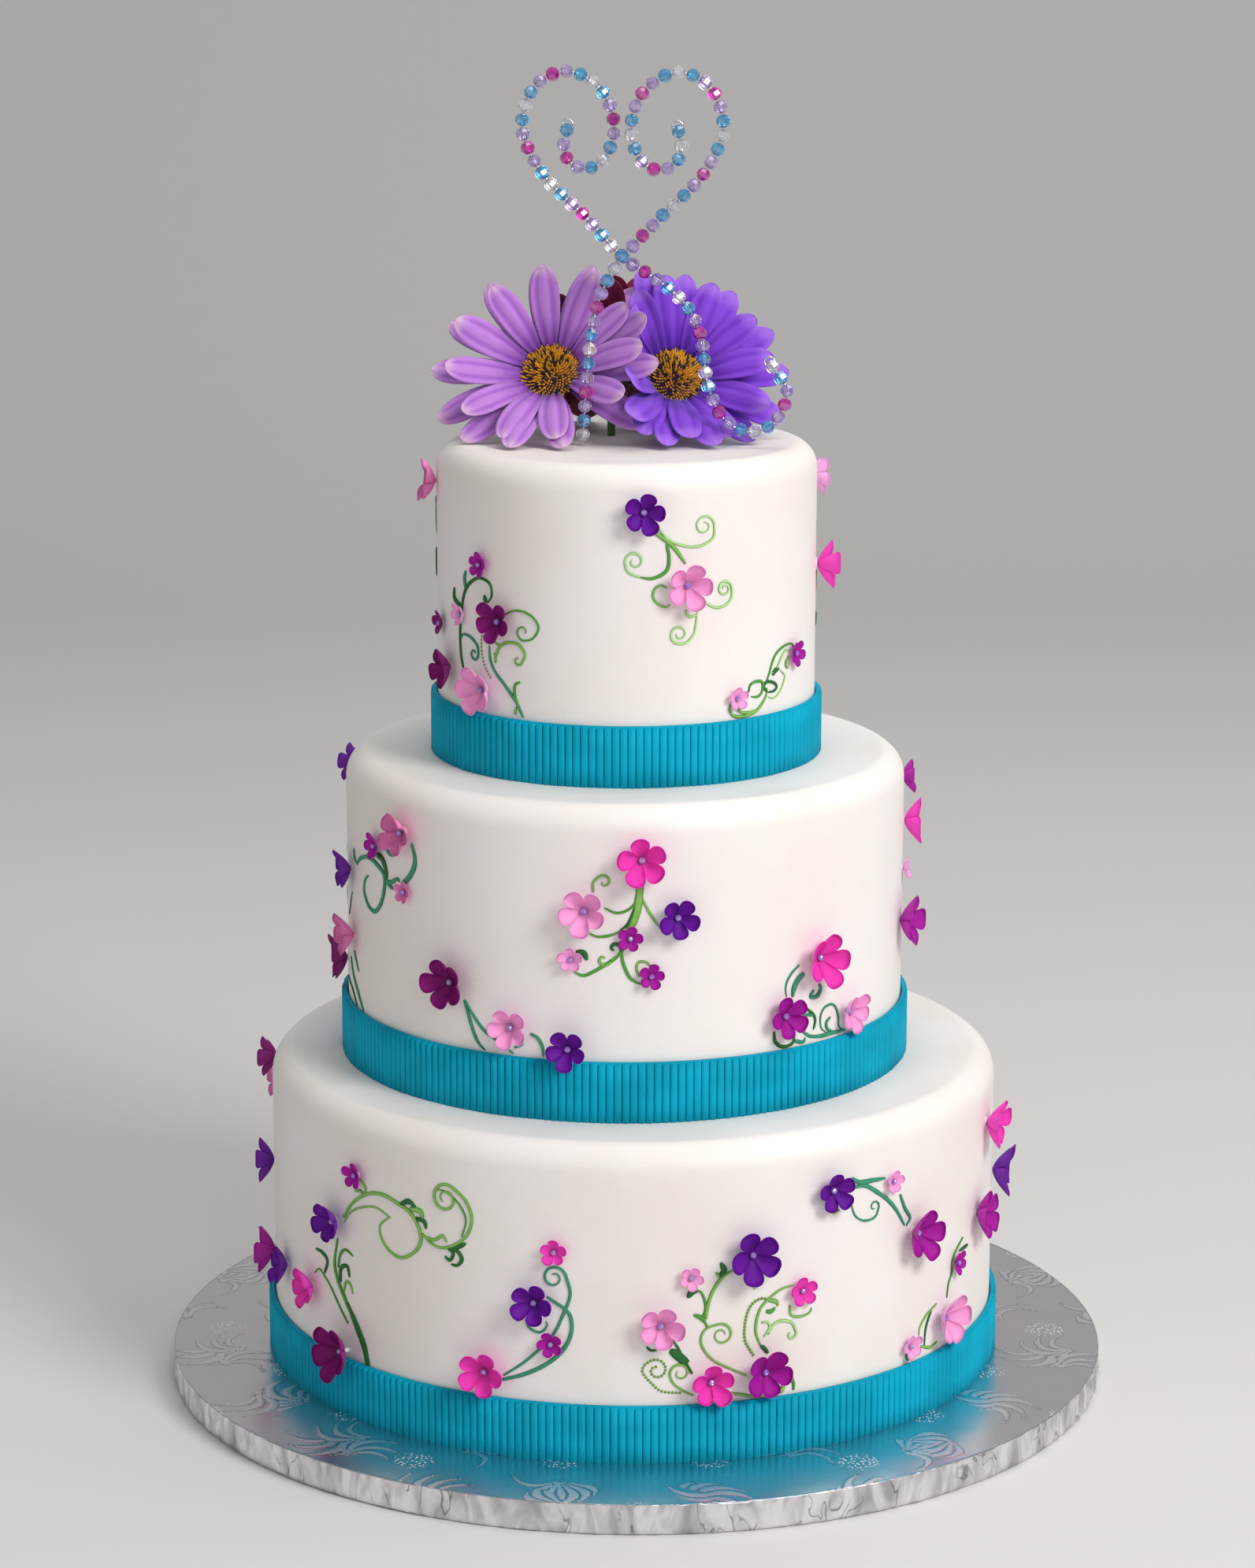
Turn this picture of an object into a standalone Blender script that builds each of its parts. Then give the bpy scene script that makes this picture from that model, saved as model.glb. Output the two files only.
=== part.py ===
"""A three-tier wedding cake on its foil-covered board.

The tiers are sugar-paste covered cakes, each with a ribbon of sugar paste round its foot and
five-petalled sugar blossoms stuck to its wall. Three silk daisies and two beaded wires, which
cross to make a heart, stand on the top tier. Front is -Y, up is +Z, and the origin is at the
middle of the board's underside. Every length is in metres.
"""

import math
from collections import namedtuple

import bmesh
import bpy
from mathutils import Matrix, Vector
from mathutils.bvhtree import BVHTree

MM = 0.001
GAP = 0.3 * MM
SOLVER = "MANIFOLD"

# Board: a sixteen inch drum, half an inch thick
BOARD_RADIUS = 203.2 * MM
BOARD_THICKNESS = 13.0 * MM
BOARD_EDGE = 1.2 * MM

# Tiers: twelve, nine and six inch cakes with their covering, none of them quite centred
Tier = namedtuple("Tier", "radius height offset_x ribbon_height")
TIERS = {
    "bottom": Tier(156.5 * MM, 132.3 * MM, -1.7 * MM, 23.6 * MM),
    "middle": Tier(119.4 * MM, 130.4 * MM, -5.5 * MM, 24.6 * MM),
    "top": Tier(80.4 * MM, 131.6 * MM, -5.1 * MM, 25.0 * MM),
}
SHOULDER = 11.0 * MM
SHOULDER_STEPS = 3
RIBBON_THICKNESS = 2.6 * MM
ROUND_STEPS = 60

# Sugar blossoms
PETALS = 5
PASTE = 0.9 * MM
CUP = 0.62
NOTCH = 0.70
PEARL = 0.13
LEAST_NODE_DIAMETER = 14.0 * MM
SUNK = 0.5 * MM
DAB_RADIUS = 1.8 * MM

# Blossoms in view: degrees round from the front, then millimetres up from the tier's foot and
# across the blossom, then its colour. A new line starts a new spray.
FRONT_BLOSSOMS = {
    "bottom": [
        (-95, 120, 16, "plum"), (-101, 104, 15, "mauve"), (-90, 77, 18, "purple"),
        (-88, 38, 20, "magenta"), (-70.5, 47, 15, "purple"), (-59.4, 47, 15.5, "pink"),
        (-46.5, 105, 10, "magenta"), (-52, 81.4, 15.5, "purple"), (-48.9, 27.5, 21.5, "plum"),
        (-11.6, 87.9, 10, "pink"), (-14.6, 65.9, 16, "purple"), (-12.1, 48.7, 9.5, "magenta"),
        (-22.4, 34, 18, "pink"),
        (17.8, 85.5, 20.5, "purple"), (8.6, 77.6, 9, "blush"), (25.9, 67.5, 11, "pink"),
        (4.1, 57.8, 17, "blush"), (11.6, 33, 16, "pink"), (19.9, 35, 19, "magenta"),
        (30.9, 108.1, 15.5, "purple"), (42.6, 105.6, 8.5, "blush"), (48.1, 79.9, 19.5, "magenta"),
        (74, 108, 18.5, "pink"), (88, 75, 20, "purple"), (69, 72.1, 19.5, "magenta"),
        (60, 57.8, 9.5, "magenta"), (56, 36.6, 19, "blush"), (47, 31, 9.5, "blush"),
        (124, 116, 16, "blush"),
    ],
    "middle": [
        (-104, 116, 15, "purple"),
        (-49.7, 110.1, 17, "mauve"), (-59.6, 100.3, 10, "magenta"), (-76, 83, 15.5, "purple"),
        (-49, 85, 8.5, "mauve"), (-74, 55, 16, "mauve"), (-88.5, 37, 18, "plum"),
        (3.3, 109.2, 18.5, "pink"), (-7.7, 87.8, 17.5, "blush"), (10.3, 84.9, 15.5, "purple"),
        (1.2, 76.6, 9.5, "magenta"), (-10.3, 67.3, 9, "blush"), (5.3, 60.7, 9.5, "magenta"),
        (-36.1, 52.1, 19.5, "plum"), (-22.5, 36.8, 15.5, "blush"), (-10.6, 30.5, 15, "purple"),
        (41.6, 60.9, 19.5, "pink"), (33.1, 38.9, 16.5, "magenta"), (50.8, 34, 15.5, "blush"),
        (95, 115, 14, "magenta"), (88, 98.5, 18, "pink"), (84, 79.6, 9, "blush"),
        (79, 59.5, 19.5, "magenta"),
    ],
    "top": [
        (-84, 115, 17, "mauve"),
        (4.9, 113.3, 15.5, "purple"), (17.7, 83, 17.7, "blush"),
        (88, 79, 20, "pink"), (102, 114, 15, "blush"),
        (-47.9, 87.1, 9.5, "magenta"), (-57.9, 64.3, 8.5, "blush"), (-40.1, 64.9, 15.5, "plum"),
        (-73, 57, 9.5, "plum"), (-66, 40, 16, "plum"), (-47.1, 35, 18.5, "blush"),
        (34.1, 33.9, 8.5, "blush"), (59.5, 48, 10, "magenta"),
    ],
}

# Blossoms on the side out of view follow one spray: degrees and millimetres from its middle
BACK_SPRAY = [(-4.5, -14, 19, "magenta"), (5.5, 16, 15.5, "purple")]
BACK_SPRAY_PLACES = {
    "bottom": [(146, 60), (182, 88), (222, 52)],
    "middle": [(132, 64), (180, 86), (226, 60)],
    "top": [(145, 58), (210, 78)],
}

# Silk daisies: place of the head from the middle of the top tier's top, then the way it faces, in
# degrees round from the front and up, how far across its petals may reach to the other head, and
# in degrees where the petals part, as they do round the front wire
Daisy = namedtuple("Daisy", "place turn lift radius limit parting colour")
DAISIES = {
    "daisy_lilac": Daisy((-32 * MM, 6 * MM, 27 * MM), -14, 36, 48 * MM, 9 * MM, -50, "lilac"),
    "daisy_violet": Daisy((20 * MM, 8 * MM, 25 * MM), 14, 34, 46 * MM, -1 * MM, 178, "violet"),
    "daisy_wine": Daisy((-6 * MM, 27 * MM, 29 * MM), 178, 30, 42 * MM, None, -90, "wine"),
}
PARTING_WIDTH = 18
DISC_RADIUS = 12.5 * MM
DISC_HEIGHT = 5.0 * MM
# Rings of petals: how many, their reach as a share of the head's, degrees of lean forward, and
# how far in front of the disc's middle they start
PETAL_RINGS = [(13, 1.0, 6, -1.3 * MM), (11, 0.88, 26, 1.5 * MM)]
LEAN_STEP, MOST_LEAN = 5, 50
SPAN_STEP, LEAST_SPAN = 2.0 * MM, 14.0 * MM
BLADE_THICKNESS = 1.0 * MM
BLADE_WIDTHS = (4.5 * MM, 12.0 * MM, 8.0 * MM)
BLADE_SLACK = 0.5 * MM
PETAL_REST = 3.0 * MM

# Beaded wires: knots across and up from the middle of the top tier's top, in millimetres
BEAD_RADIUS = 3.0 * MM
BEAD_PITCH = 5.9 * MM
NECK_SHARE = 0.36
WIRE_SPACING = 6.8 * MM
WIRE_PLANE = -9.0 * MM
# Below this height a wire bends forward, by so much at its lowest
BEND_TOP, BEND_HEIGHT = 60.0 * MM, 36.0 * MM
WIRE_BENDS = {"wire_front": 6.0 * MM, "wire_back": 16.0 * MM}
CURVE_STEPS = 24
WIRE_KNOTS = {
    "wire_front": [
        (-18.3, 0.4), (-16.4, 28.8), (-14.2, 50), (-9.5, 65), (-2, 77), (13, 93), (31, 111),
        (39.5, 130), (34, 147), (20, 153), (6.5, 145), (1.5, 131), (5, 118), (14, 113),
        (22, 119), (21, 129),
    ],
    "wire_back": [
        (60.5, 33), (66.5, 23), (62, 10.8), (51.5, 5.9), (40, 11.8), (33.5, 26), (30.5, 45),
        (23.5, 58), (11.5, 68), (-2, 77), (-17, 93), (-35, 111), (-43.5, 130), (-38, 147),
        (-24, 153), (-10.5, 145), (-5.5, 131), (-9, 118), (-18, 113), (-26, 119), (-25, 129),
    ],
}

# Colours as linear red, green, blue, with roughness and metallic
FINISHES = {
    "foil": ((0.72, 0.72, 0.74), 0.28, 1.0),
    "ivory_paste": ((0.86, 0.83, 0.79), 0.5, 0.0),
    "teal_paste": ((0.0, 0.30, 0.42), 0.55, 0.0),
    "purple": ((0.10, 0.01, 0.30), 0.6, 0.0),
    "magenta": ((0.33, 0.01, 0.25), 0.6, 0.0),
    "plum": ((0.20, 0.0, 0.14), 0.6, 0.0),
    "pink": ((0.85, 0.07, 0.42), 0.6, 0.0),
    "blush": ((0.86, 0.32, 0.55), 0.6, 0.0),
    "mauve": ((0.62, 0.20, 0.40), 0.6, 0.0),
    "lilac": ((0.42, 0.18, 0.58), 0.8, 0.0),
    "violet": ((0.16, 0.04, 0.45), 0.8, 0.0),
    "wine": ((0.16, 0.0, 0.05), 0.8, 0.0),
    "crystal": ((0.25, 0.45, 0.75), 0.1, 0.0),
}


def clear_scene():
    for obj in list(bpy.data.objects):
        bpy.data.objects.remove(obj)


def new_collection(name):
    collection = bpy.data.collections.new(name)
    bpy.context.scene.collection.children.link(collection)
    return collection


def material(name):
    found = bpy.data.materials.get(name)
    if found:
        return found
    color, roughness, metallic = FINISHES[name]
    made = bpy.data.materials.new(name)
    made.use_nodes = True
    shader = made.node_tree.nodes["Principled BSDF"]
    shader.inputs["Base Color"].default_value = (*color, 1.0)
    shader.inputs["Roughness"].default_value = roughness
    shader.inputs["Metallic"].default_value = metallic
    made.diffuse_color = (*color, 1.0)
    return made


def new_object(name, shape, finish, collection):
    """A mesh object from a bmesh, which is used up."""
    mesh = bpy.data.meshes.new(name)
    shape.to_mesh(mesh)
    shape.free()
    obj = bpy.data.objects.new(name, mesh)
    obj.data.materials.append(material(finish))
    collection.objects.link(obj)
    return obj


def settle(obj):
    """Applies the object's modifiers and place to its mesh."""
    bpy.context.view_layer.update()
    graph = bpy.context.evaluated_depsgraph_get()
    mesh = bpy.data.meshes.new_from_object(obj.evaluated_get(graph))
    mesh.transform(obj.matrix_world)
    obj.modifiers.clear()
    obj.data = mesh
    obj.matrix_world = Matrix.Identity(4)
    return obj


def islands(shape):
    """The faces of a bmesh, in lists of those that hang together."""
    left = set(shape.faces)
    found = []
    while left:
        front = [left.pop()]
        island = []
        while front:
            face = front.pop()
            island.append(face)
            near = {other for edge in face.edges for other in edge.link_faces} & left
            left -= near
            front.extend(near)
        found.append(island)
    return found


def keep_outer_shell(obj):
    """Fills the pockets that a union sealed and drops loose scraps: only the widest shell stays."""
    shape = bmesh.new()
    shape.from_mesh(obj.data)
    shape.faces.ensure_lookup_table()
    shells = islands(shape)
    widest = max(shells, key=lambda shell: sum(face.calc_area() for face in shell))
    extra = [face for shell in shells if shell is not widest for face in shell]
    bmesh.ops.delete(shape, geom=extra, context="FACES")
    shape.to_mesh(obj.data)
    shape.free()


def fuse(base, others):
    """Joins the others into the base with one Boolean union and removes them."""
    if not others:
        return base
    helpers = new_collection("helpers")
    for obj in others:
        for home in list(obj.users_collection):
            home.objects.unlink(obj)
        helpers.objects.link(obj)
    union = base.modifiers.new("union", "BOOLEAN")
    union.operation = "UNION"
    union.solver = SOLVER
    union.operand_type = "COLLECTION"
    union.collection = helpers
    settle(base)
    keep_outer_shell(base)
    for obj in list(helpers.objects):
        bpy.data.objects.remove(obj)
    bpy.data.collections.remove(helpers)
    return base


def turned(name, profile, finish, collection, ring=False):
    """A solid of revolution about Z from (radius, height) points that run from top to bottom."""
    shape = bmesh.new()
    points = [shape.verts.new((radius, 0.0, height)) for radius, height in profile]
    for upper, lower in zip(points, points[1:]):
        shape.edges.new((upper, lower))
    if ring:
        shape.edges.new((points[-1], points[0]))
    obj = new_object(name, shape, finish, collection)
    screw = obj.modifiers.new("turn", "SCREW")
    screw.steps = screw.render_steps = ROUND_STEPS
    screw.use_merge_vertices = True
    screw.merge_threshold = 0.01 * MM
    return obj


def foot_of(tier):
    """Height of a tier's underside, with a hair of air under each tier."""
    height = BOARD_THICKNESS + GAP
    for name, size in TIERS.items():
        if name == tier:
            return height
        height += size.height + GAP
    raise KeyError(tier)


def make_board(collection):
    rim = BOARD_RADIUS - BOARD_EDGE
    profile = [
        (0.0, BOARD_THICKNESS),
        (rim, BOARD_THICKNESS),
        (BOARD_RADIUS, BOARD_THICKNESS - BOARD_EDGE),
        (BOARD_RADIUS, BOARD_EDGE),
        (rim, 0.0),
        (0.0, 0.0),
    ]
    return turned("cake_board", profile, "foil", collection)


def make_tier(name, collection):
    size = TIERS[name]
    profile = [(0.0, size.height)]
    for step in range(SHOULDER_STEPS + 1):
        angle = math.radians(90 * (1 - step / SHOULDER_STEPS))
        profile.append((
            size.radius - SHOULDER * (1 - math.cos(angle)),
            size.height - SHOULDER * (1 - math.sin(angle)),
        ))
    profile += [(size.radius, 0.0), (0.0, 0.0)]
    tier = turned(f"tier_{name}", profile, "ivory_paste", collection)
    tier.location = (size.offset_x, 0.0, foot_of(name))
    return tier


def make_ribbon(name, collection):
    """The ribbon of paste round a tier's foot, clear of the wall and of what it stands on."""
    size = TIERS[name]
    inner = size.radius + GAP
    outer = inner + RIBBON_THICKNESS
    profile = [(inner, size.ribbon_height), (outer, size.ribbon_height), (outer, 0.0), (inner, 0.0)]
    ribbon = turned(f"ribbon_{name}", profile, "teal_paste", collection, ring=True)
    ribbon.location = (size.offset_x, 0.0, foot_of(name))
    return ribbon


def petal_cup(diameter, finish, roll, collection, with_pearl=True):
    """A cup of rounded petals about +Z with its back at the origin, and a pearl in its middle. A
    small one has two points to a petal and no pearl."""
    shape = bmesh.new()
    radius = diameter / 2
    pearl_radius = PEARL * diameter if with_pearl else 0.0
    points_per_petal = 3 if with_pearl else 2
    count = PETALS * points_per_petal
    if with_pearl:
        bmesh.ops.create_circle(
            shape, cap_ends=True, cap_tris=True, segments=PETALS, radius=pearl_radius
        )
        rim = [edge for edge in shape.edges if edge.is_boundary]
        bmesh.ops.extrude_edge_only(shape, edges=rim)
        outline = [edge for edge in shape.edges if edge.is_boundary]
        for vert in {vert for edge in outline for vert in edge.verts}:
            vert.co *= radius / pearl_radius
        bmesh.ops.subdivide_edges(shape, edges=outline, cuts=points_per_petal - 1)
        bmesh.ops.triangulate(shape, faces=shape.faces)
    else:
        bmesh.ops.create_circle(
            shape, cap_ends=True, cap_tris=True, segments=count, radius=radius
        )
    for vert in shape.verts:
        if vert.co.length < MM / 10:
            vert.co.z = 1.6 * pearl_radius
        elif vert.is_boundary:
            step = round(math.atan2(vert.co.y, vert.co.x) / (2 * math.pi) * count)
            reach = radius * (NOTCH if step % points_per_petal == 0 else 1.0)
            angle = 2 * math.pi * step / count
            vert.co = (reach * math.cos(angle), reach * math.sin(angle), CUP * reach)
    bmesh.ops.rotate(shape, verts=shape.verts, matrix=Matrix.Rotation(roll, 3, "Z"))
    shape.normal_update()
    cup = new_object("petals", shape, finish, collection)
    thick = cup.modifiers.new("paste", "SOLIDIFY")
    thick.thickness = PASTE
    thick.offset = 1.0
    return settle(cup)


def make_blossom(name, diameter, finish, reach_back, roll, collection):
    """One sugar blossom facing +Z and, where it stands off, the dab of icing behind it."""
    blossom = petal_cup(diameter, finish, roll, collection)
    blossom.name = name
    if reach_back == 0:
        return blossom
    dab = bmesh.new()
    bmesh.ops.create_cone(
        dab, cap_ends=True, segments=PETALS, radius1=DAB_RADIUS, radius2=PEARL * diameter,
        depth=reach_back + PASTE,
    )
    bmesh.ops.translate(dab, verts=dab.verts, vec=(0, 0, (PASTE - reach_back) / 2))
    return fuse(blossom, [new_object("dab", dab, finish, collection)])


def stand_off(tier, up, diameter):
    """How far a blossom is held off the wall: enough to clear the ribbon where it hangs over it."""
    low = up - diameter / 2
    return RIBBON_THICKNESS + GAP if low < TIERS[tier].ribbon_height + GAP else 0.0


def place_on_wall(obj, tier, degrees, up, distance):
    size = TIERS[tier]
    angle = math.radians(degrees)
    reach = size.radius + distance
    obj.location = (
        size.offset_x + reach * math.sin(angle),
        -reach * math.cos(angle),
        foot_of(tier) + up,
    )
    obj.rotation_euler = (math.pi / 2, 0.0, angle)


def back_blossoms(tier):
    """The blossoms of a tier on the side out of view, as one spray repeated round the wall."""
    return [
        (degrees + turn, up + rise, across, colour)
        for degrees, up in BACK_SPRAY_PLACES[tier]
        for turn, rise, across, colour in BACK_SPRAY
    ]


def make_blossoms(tier, collection):
    """Large blossoms in view stay objects of their own. The small ones and those out of view are
    pushed a little into the wall and returned, for the tier to be fused with them."""
    to_fuse = []
    front = FRONT_BLOSSOMS[tier]
    for number, (degrees, up, across, colour) in enumerate(front + back_blossoms(tier), 1):
        diameter = across * MM
        own_node = diameter >= LEAST_NODE_DIAMETER and number <= len(front)
        off = stand_off(tier, up * MM, diameter)
        roll = math.radians(37 * number)
        name = f"blossom_{tier}_{number:02d}"
        if own_node:
            blossom = make_blossom(name, diameter, colour, off, roll, collection)
            place_on_wall(blossom, tier, degrees, up * MM, GAP + off)
        else:
            blossom = petal_cup(diameter, colour, roll, collection, with_pearl=False)
            place_on_wall(blossom, tier, degrees, up * MM, -SUNK)
            to_fuse.append(blossom)
    return to_fuse


def smooth_path(knots):
    """Points along a Catmull-Rom curve through the knots."""
    ends = [2 * knots[0] - knots[1], *knots, 2 * knots[-1] - knots[-2]]
    path = []
    for a, b, c, d in zip(ends, ends[1:], ends[2:], ends[3:]):
        for step in range(CURVE_STEPS):
            t = step / CURVE_STEPS
            path.append(0.5 * (
                2 * b + (c - a) * t + (2 * a - 5 * b + 4 * c - d) * t**2
                + (3 * b - a - 3 * c + d) * t**3
            ))
    return [*path, knots[-1]]


def spaced(path, spacing):
    """Points at equal steps along a path, as near to the spacing as fits a whole number."""
    lengths = [0.0]
    for a, b in zip(path, path[1:]):
        lengths.append(lengths[-1] + (b - a).length)
    count = round(lengths[-1] / spacing)
    points, index = [], 0
    for number in range(count + 1):
        at = lengths[-1] * number / count
        while index < len(path) - 2 and lengths[index + 1] < at:
            index += 1
        share = (at - lengths[index]) / (lengths[index + 1] - lengths[index])
        points.append(path[index].lerp(path[index + 1], share))
    return points


def wire_knot(name, across, up):
    """A wire's knot: in its plane above, and forward of it in front of the daisies."""
    part = min(1.0, max(0.0, (BEND_TOP - up) / BEND_HEIGHT))
    return Vector((across, -WIRE_BENDS[name] * part**2 * (3 - 2 * part), up))


def make_wire(name, collection):
    """A string of beads on a bent wire: one tube that swells at each bead's waist."""
    size = TIERS["top"]
    side = -0.5 if name == "wire_front" else 0.5
    base = Vector((size.offset_x, WIRE_PLANE + side * WIRE_SPACING, foot_of("top") + size.height))
    knots = [base + wire_knot(name, across * MM, up * MM) for across, up in WIRE_KNOTS[name]]
    points = spaced(smooth_path(knots), BEAD_PITCH / 2)
    curve = bpy.data.curves.new(name, "CURVE")
    curve.dimensions = "3D"
    curve.bevel_depth = BEAD_RADIUS
    curve.bevel_resolution = 1
    curve.use_fill_caps = True
    spline = curve.splines.new("POLY")
    spline.points.add(len(points) - 1)
    for index, (spot, point) in enumerate(zip(spline.points, points)):
        spot.co = (*point, 1.0)
        spot.radius = NECK_SHARE if index % 2 else 1.0
    spline.points[0].radius = spline.points[-1].radius = NECK_SHARE
    wire = bpy.data.objects.new(name, curve)
    wire.data.materials.append(material("crystal"))
    collection.objects.link(wire)
    return wire


def tree_of(obj):
    """A search tree over an object's surface as it stands."""
    graph = bpy.context.evaluated_depsgraph_get()
    mesh = obj.evaluated_get(graph).to_mesh()
    points = [obj.matrix_world @ vert.co for vert in mesh.vertices]
    tree = BVHTree.FromPolygons(points, [list(face.vertices) for face in mesh.polygons])
    return tree, points


def is_clear(blade, others):
    """Whether a petal keeps its distance from every surface in a list of (tree, points)."""
    tree, points = tree_of(blade)
    for other_tree, other_points in others:
        if tree.overlap(other_tree):
            return False
        near = [other_tree.find_nearest(point)[3] for point in points]
        near += [tree.find_nearest(point)[3] for point in other_points]
        if min(near) < BLADE_SLACK:
            return False
    return True


def daisy_axes(daisy):
    """Right, up and forward of a daisy's head."""
    turn, lift = math.radians(daisy.turn), math.radians(daisy.lift)
    forward = Vector((
        math.sin(turn) * math.cos(lift), -math.cos(turn) * math.cos(lift), math.sin(lift),
    ))
    right = Vector((math.cos(turn), math.sin(turn), 0.0))
    return right, forward.cross(right), forward


def make_blade(root, tip, facing, collection, finish):
    """One petal as a flat blade, widest at its middle, between two points."""
    along = tip - root
    across = facing.cross(along).normalized()
    normal = along.cross(across).normalized()
    shape = bmesh.new()
    bmesh.ops.create_cube(shape, size=1.0)
    long_edges = [
        edge for edge in shape.edges
        if abs(edge.verts[0].co.x - edge.verts[1].co.x) > 0.5
    ]
    bmesh.ops.subdivide_edges(shape, edges=long_edges, cuts=1)
    for vert in shape.verts:
        share = vert.co.x + 0.5
        width = BLADE_WIDTHS[round(2 * share)]
        vert.co = (
            root + along * share + across * (vert.co.y * width)
            + normal * (vert.co.z * BLADE_THICKNESS)
        )
    return new_object("blade", shape, finish, collection)


def petal_ends(daisy, centre, floor, ring, index):
    """Root and tip of a petal. One that would reach into the other head leans forward, and is
    shorter where that isn't enough. One that would sink into the cake lies forward over it."""
    count, reach, lean, start = PETAL_RINGS[ring]
    right, up, forward = daisy_axes(daisy)
    pitch = (360 - PARTING_WIDTH) / count
    angle = math.radians(daisy.parting + PARTING_WIDTH / 2 + pitch * (index + 0.5))
    out = math.cos(angle) * right + math.sin(angle) * up
    root = centre + 0.7 * DISC_RADIUS * out + start * forward
    length = reach * daisy.radius - 0.7 * DISC_RADIUS
    inwards = -math.copysign(1.0, daisy.place[0])
    while True:
        tilt = math.radians(lean)
        tip = root + length * (math.cos(tilt) * out + math.sin(tilt) * forward)
        if daisy.limit is None or length <= LEAST_SPAN:
            break
        across = tip.x - centre.x + daisy.place[0]
        if inwards * (across - daisy.limit) <= 0:
            break
        if lean < MOST_LEAN:
            lean += LEAN_STEP
        else:
            length -= SPAN_STEP
    least = floor + PETAL_REST * (1 + ring)
    if tip.z < least:
        drop = root.z - least
        flat = Vector((tip.x - root.x, tip.y - root.y, 0.0))
        flat += Vector((forward.x, forward.y, 0.0)) * (least - tip.z)
        tip = root + flat.normalized() * math.sqrt(length**2 - drop**2)
        tip.z = least
    return root, tip


def make_daisy(name, taken, collection):
    """A daisy head: a domed disc and two rings of petals. A petal too near to a wire or to a
    petal of the last head is left out."""
    daisy = DAISIES[name]
    size = TIERS["top"]
    floor = foot_of("top") + size.height
    centre = Vector((size.offset_x, 0.0, floor)) + Vector(daisy.place)
    right, up, forward = daisy_axes(daisy)
    disc = bmesh.new()
    bmesh.ops.create_uvsphere(disc, u_segments=12, v_segments=6, radius=DISC_RADIUS)
    bmesh.ops.scale(disc, verts=disc.verts, vec=(1.0, 1.0, DISC_HEIGHT / DISC_RADIUS))
    frame = Matrix((right, up, forward)).transposed()
    bmesh.ops.rotate(disc, verts=disc.verts, matrix=frame)
    bmesh.ops.translate(disc, verts=disc.verts, vec=centre)
    head = new_object(name, disc, daisy.colour, collection)
    blades = []
    for ring, (count, *_) in enumerate(PETAL_RINGS):
        for index in range(count):
            root, tip = petal_ends(daisy, centre, floor, ring, index)
            blade = make_blade(root, tip, forward, collection, daisy.colour)
            if is_clear(blade, taken):
                blades.append(blade)
            else:
                bpy.data.objects.remove(blade)
    return fuse(head, blades)


def shade(obj):
    """Rounds the shading of turned pieces and keeps their edges crisp."""
    if obj.type == "MESH":
        obj.data.shade_smooth()
        obj.data.set_sharp_from_angle(angle=math.radians(40))


def main():
    clear_scene()
    cake = new_collection("wedding_cake")
    make_board(cake)
    for name in TIERS:
        tier = make_tier(name, cake)
        make_ribbon(name, cake)
        fuse(tier, make_blossoms(name, cake))
    wires = [make_wire(name, cake) for name in WIRE_KNOTS]
    bpy.context.view_layer.update()
    taken = [tree_of(wire) for wire in wires]
    for name in DAISIES:
        head = make_daisy(name, taken, cake)
        bpy.context.view_layer.update()
        taken.append(tree_of(head))
    for obj in cake.objects:
        shade(obj)


main()
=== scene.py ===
"""The looks of a three-tier wedding cake with sugar blossoms, painted vines, silk daisies and a
heart of beaded wire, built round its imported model. Front is -Y and up is +Z."""

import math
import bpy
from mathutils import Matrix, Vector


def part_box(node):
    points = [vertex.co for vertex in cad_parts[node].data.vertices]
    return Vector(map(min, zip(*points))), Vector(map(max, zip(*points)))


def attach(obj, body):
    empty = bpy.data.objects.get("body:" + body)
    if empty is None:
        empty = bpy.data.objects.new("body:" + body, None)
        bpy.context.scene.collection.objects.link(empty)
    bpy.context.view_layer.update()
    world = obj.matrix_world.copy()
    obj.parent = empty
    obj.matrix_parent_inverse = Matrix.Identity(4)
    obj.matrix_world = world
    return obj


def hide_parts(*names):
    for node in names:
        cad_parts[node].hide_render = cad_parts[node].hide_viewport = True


bl_info = {
    "name": "Wedding Cake Looks",
    "version": (1, 0, 0),
    "blender": (4, 5, 0),
    "location": "View3D > Sidebar > Cake",
    "description": "Covers, ribbons, blossoms, vines, daisies and beads of a three-tier cake",
    "category": "Object",
}

from collections import namedtuple

import bpy
import numpy as np
from mathutils import Matrix, Vector, noise

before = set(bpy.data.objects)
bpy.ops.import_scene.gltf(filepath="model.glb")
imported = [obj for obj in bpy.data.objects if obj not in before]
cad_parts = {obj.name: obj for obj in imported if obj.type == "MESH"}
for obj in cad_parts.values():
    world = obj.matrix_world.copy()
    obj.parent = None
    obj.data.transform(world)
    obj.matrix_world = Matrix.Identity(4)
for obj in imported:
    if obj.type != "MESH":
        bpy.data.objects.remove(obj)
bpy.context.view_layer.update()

MM = 0.001
GAP = 0.3 * MM
RIBBON_THICKNESS = 2.6 * MM
SHOULDER = 11.0 * MM
TIERS = ("bottom", "middle", "top")

# The wall of a tier, read from the frame
Wall = namedtuple("Wall", "radius centre foot top ribbon")

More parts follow.
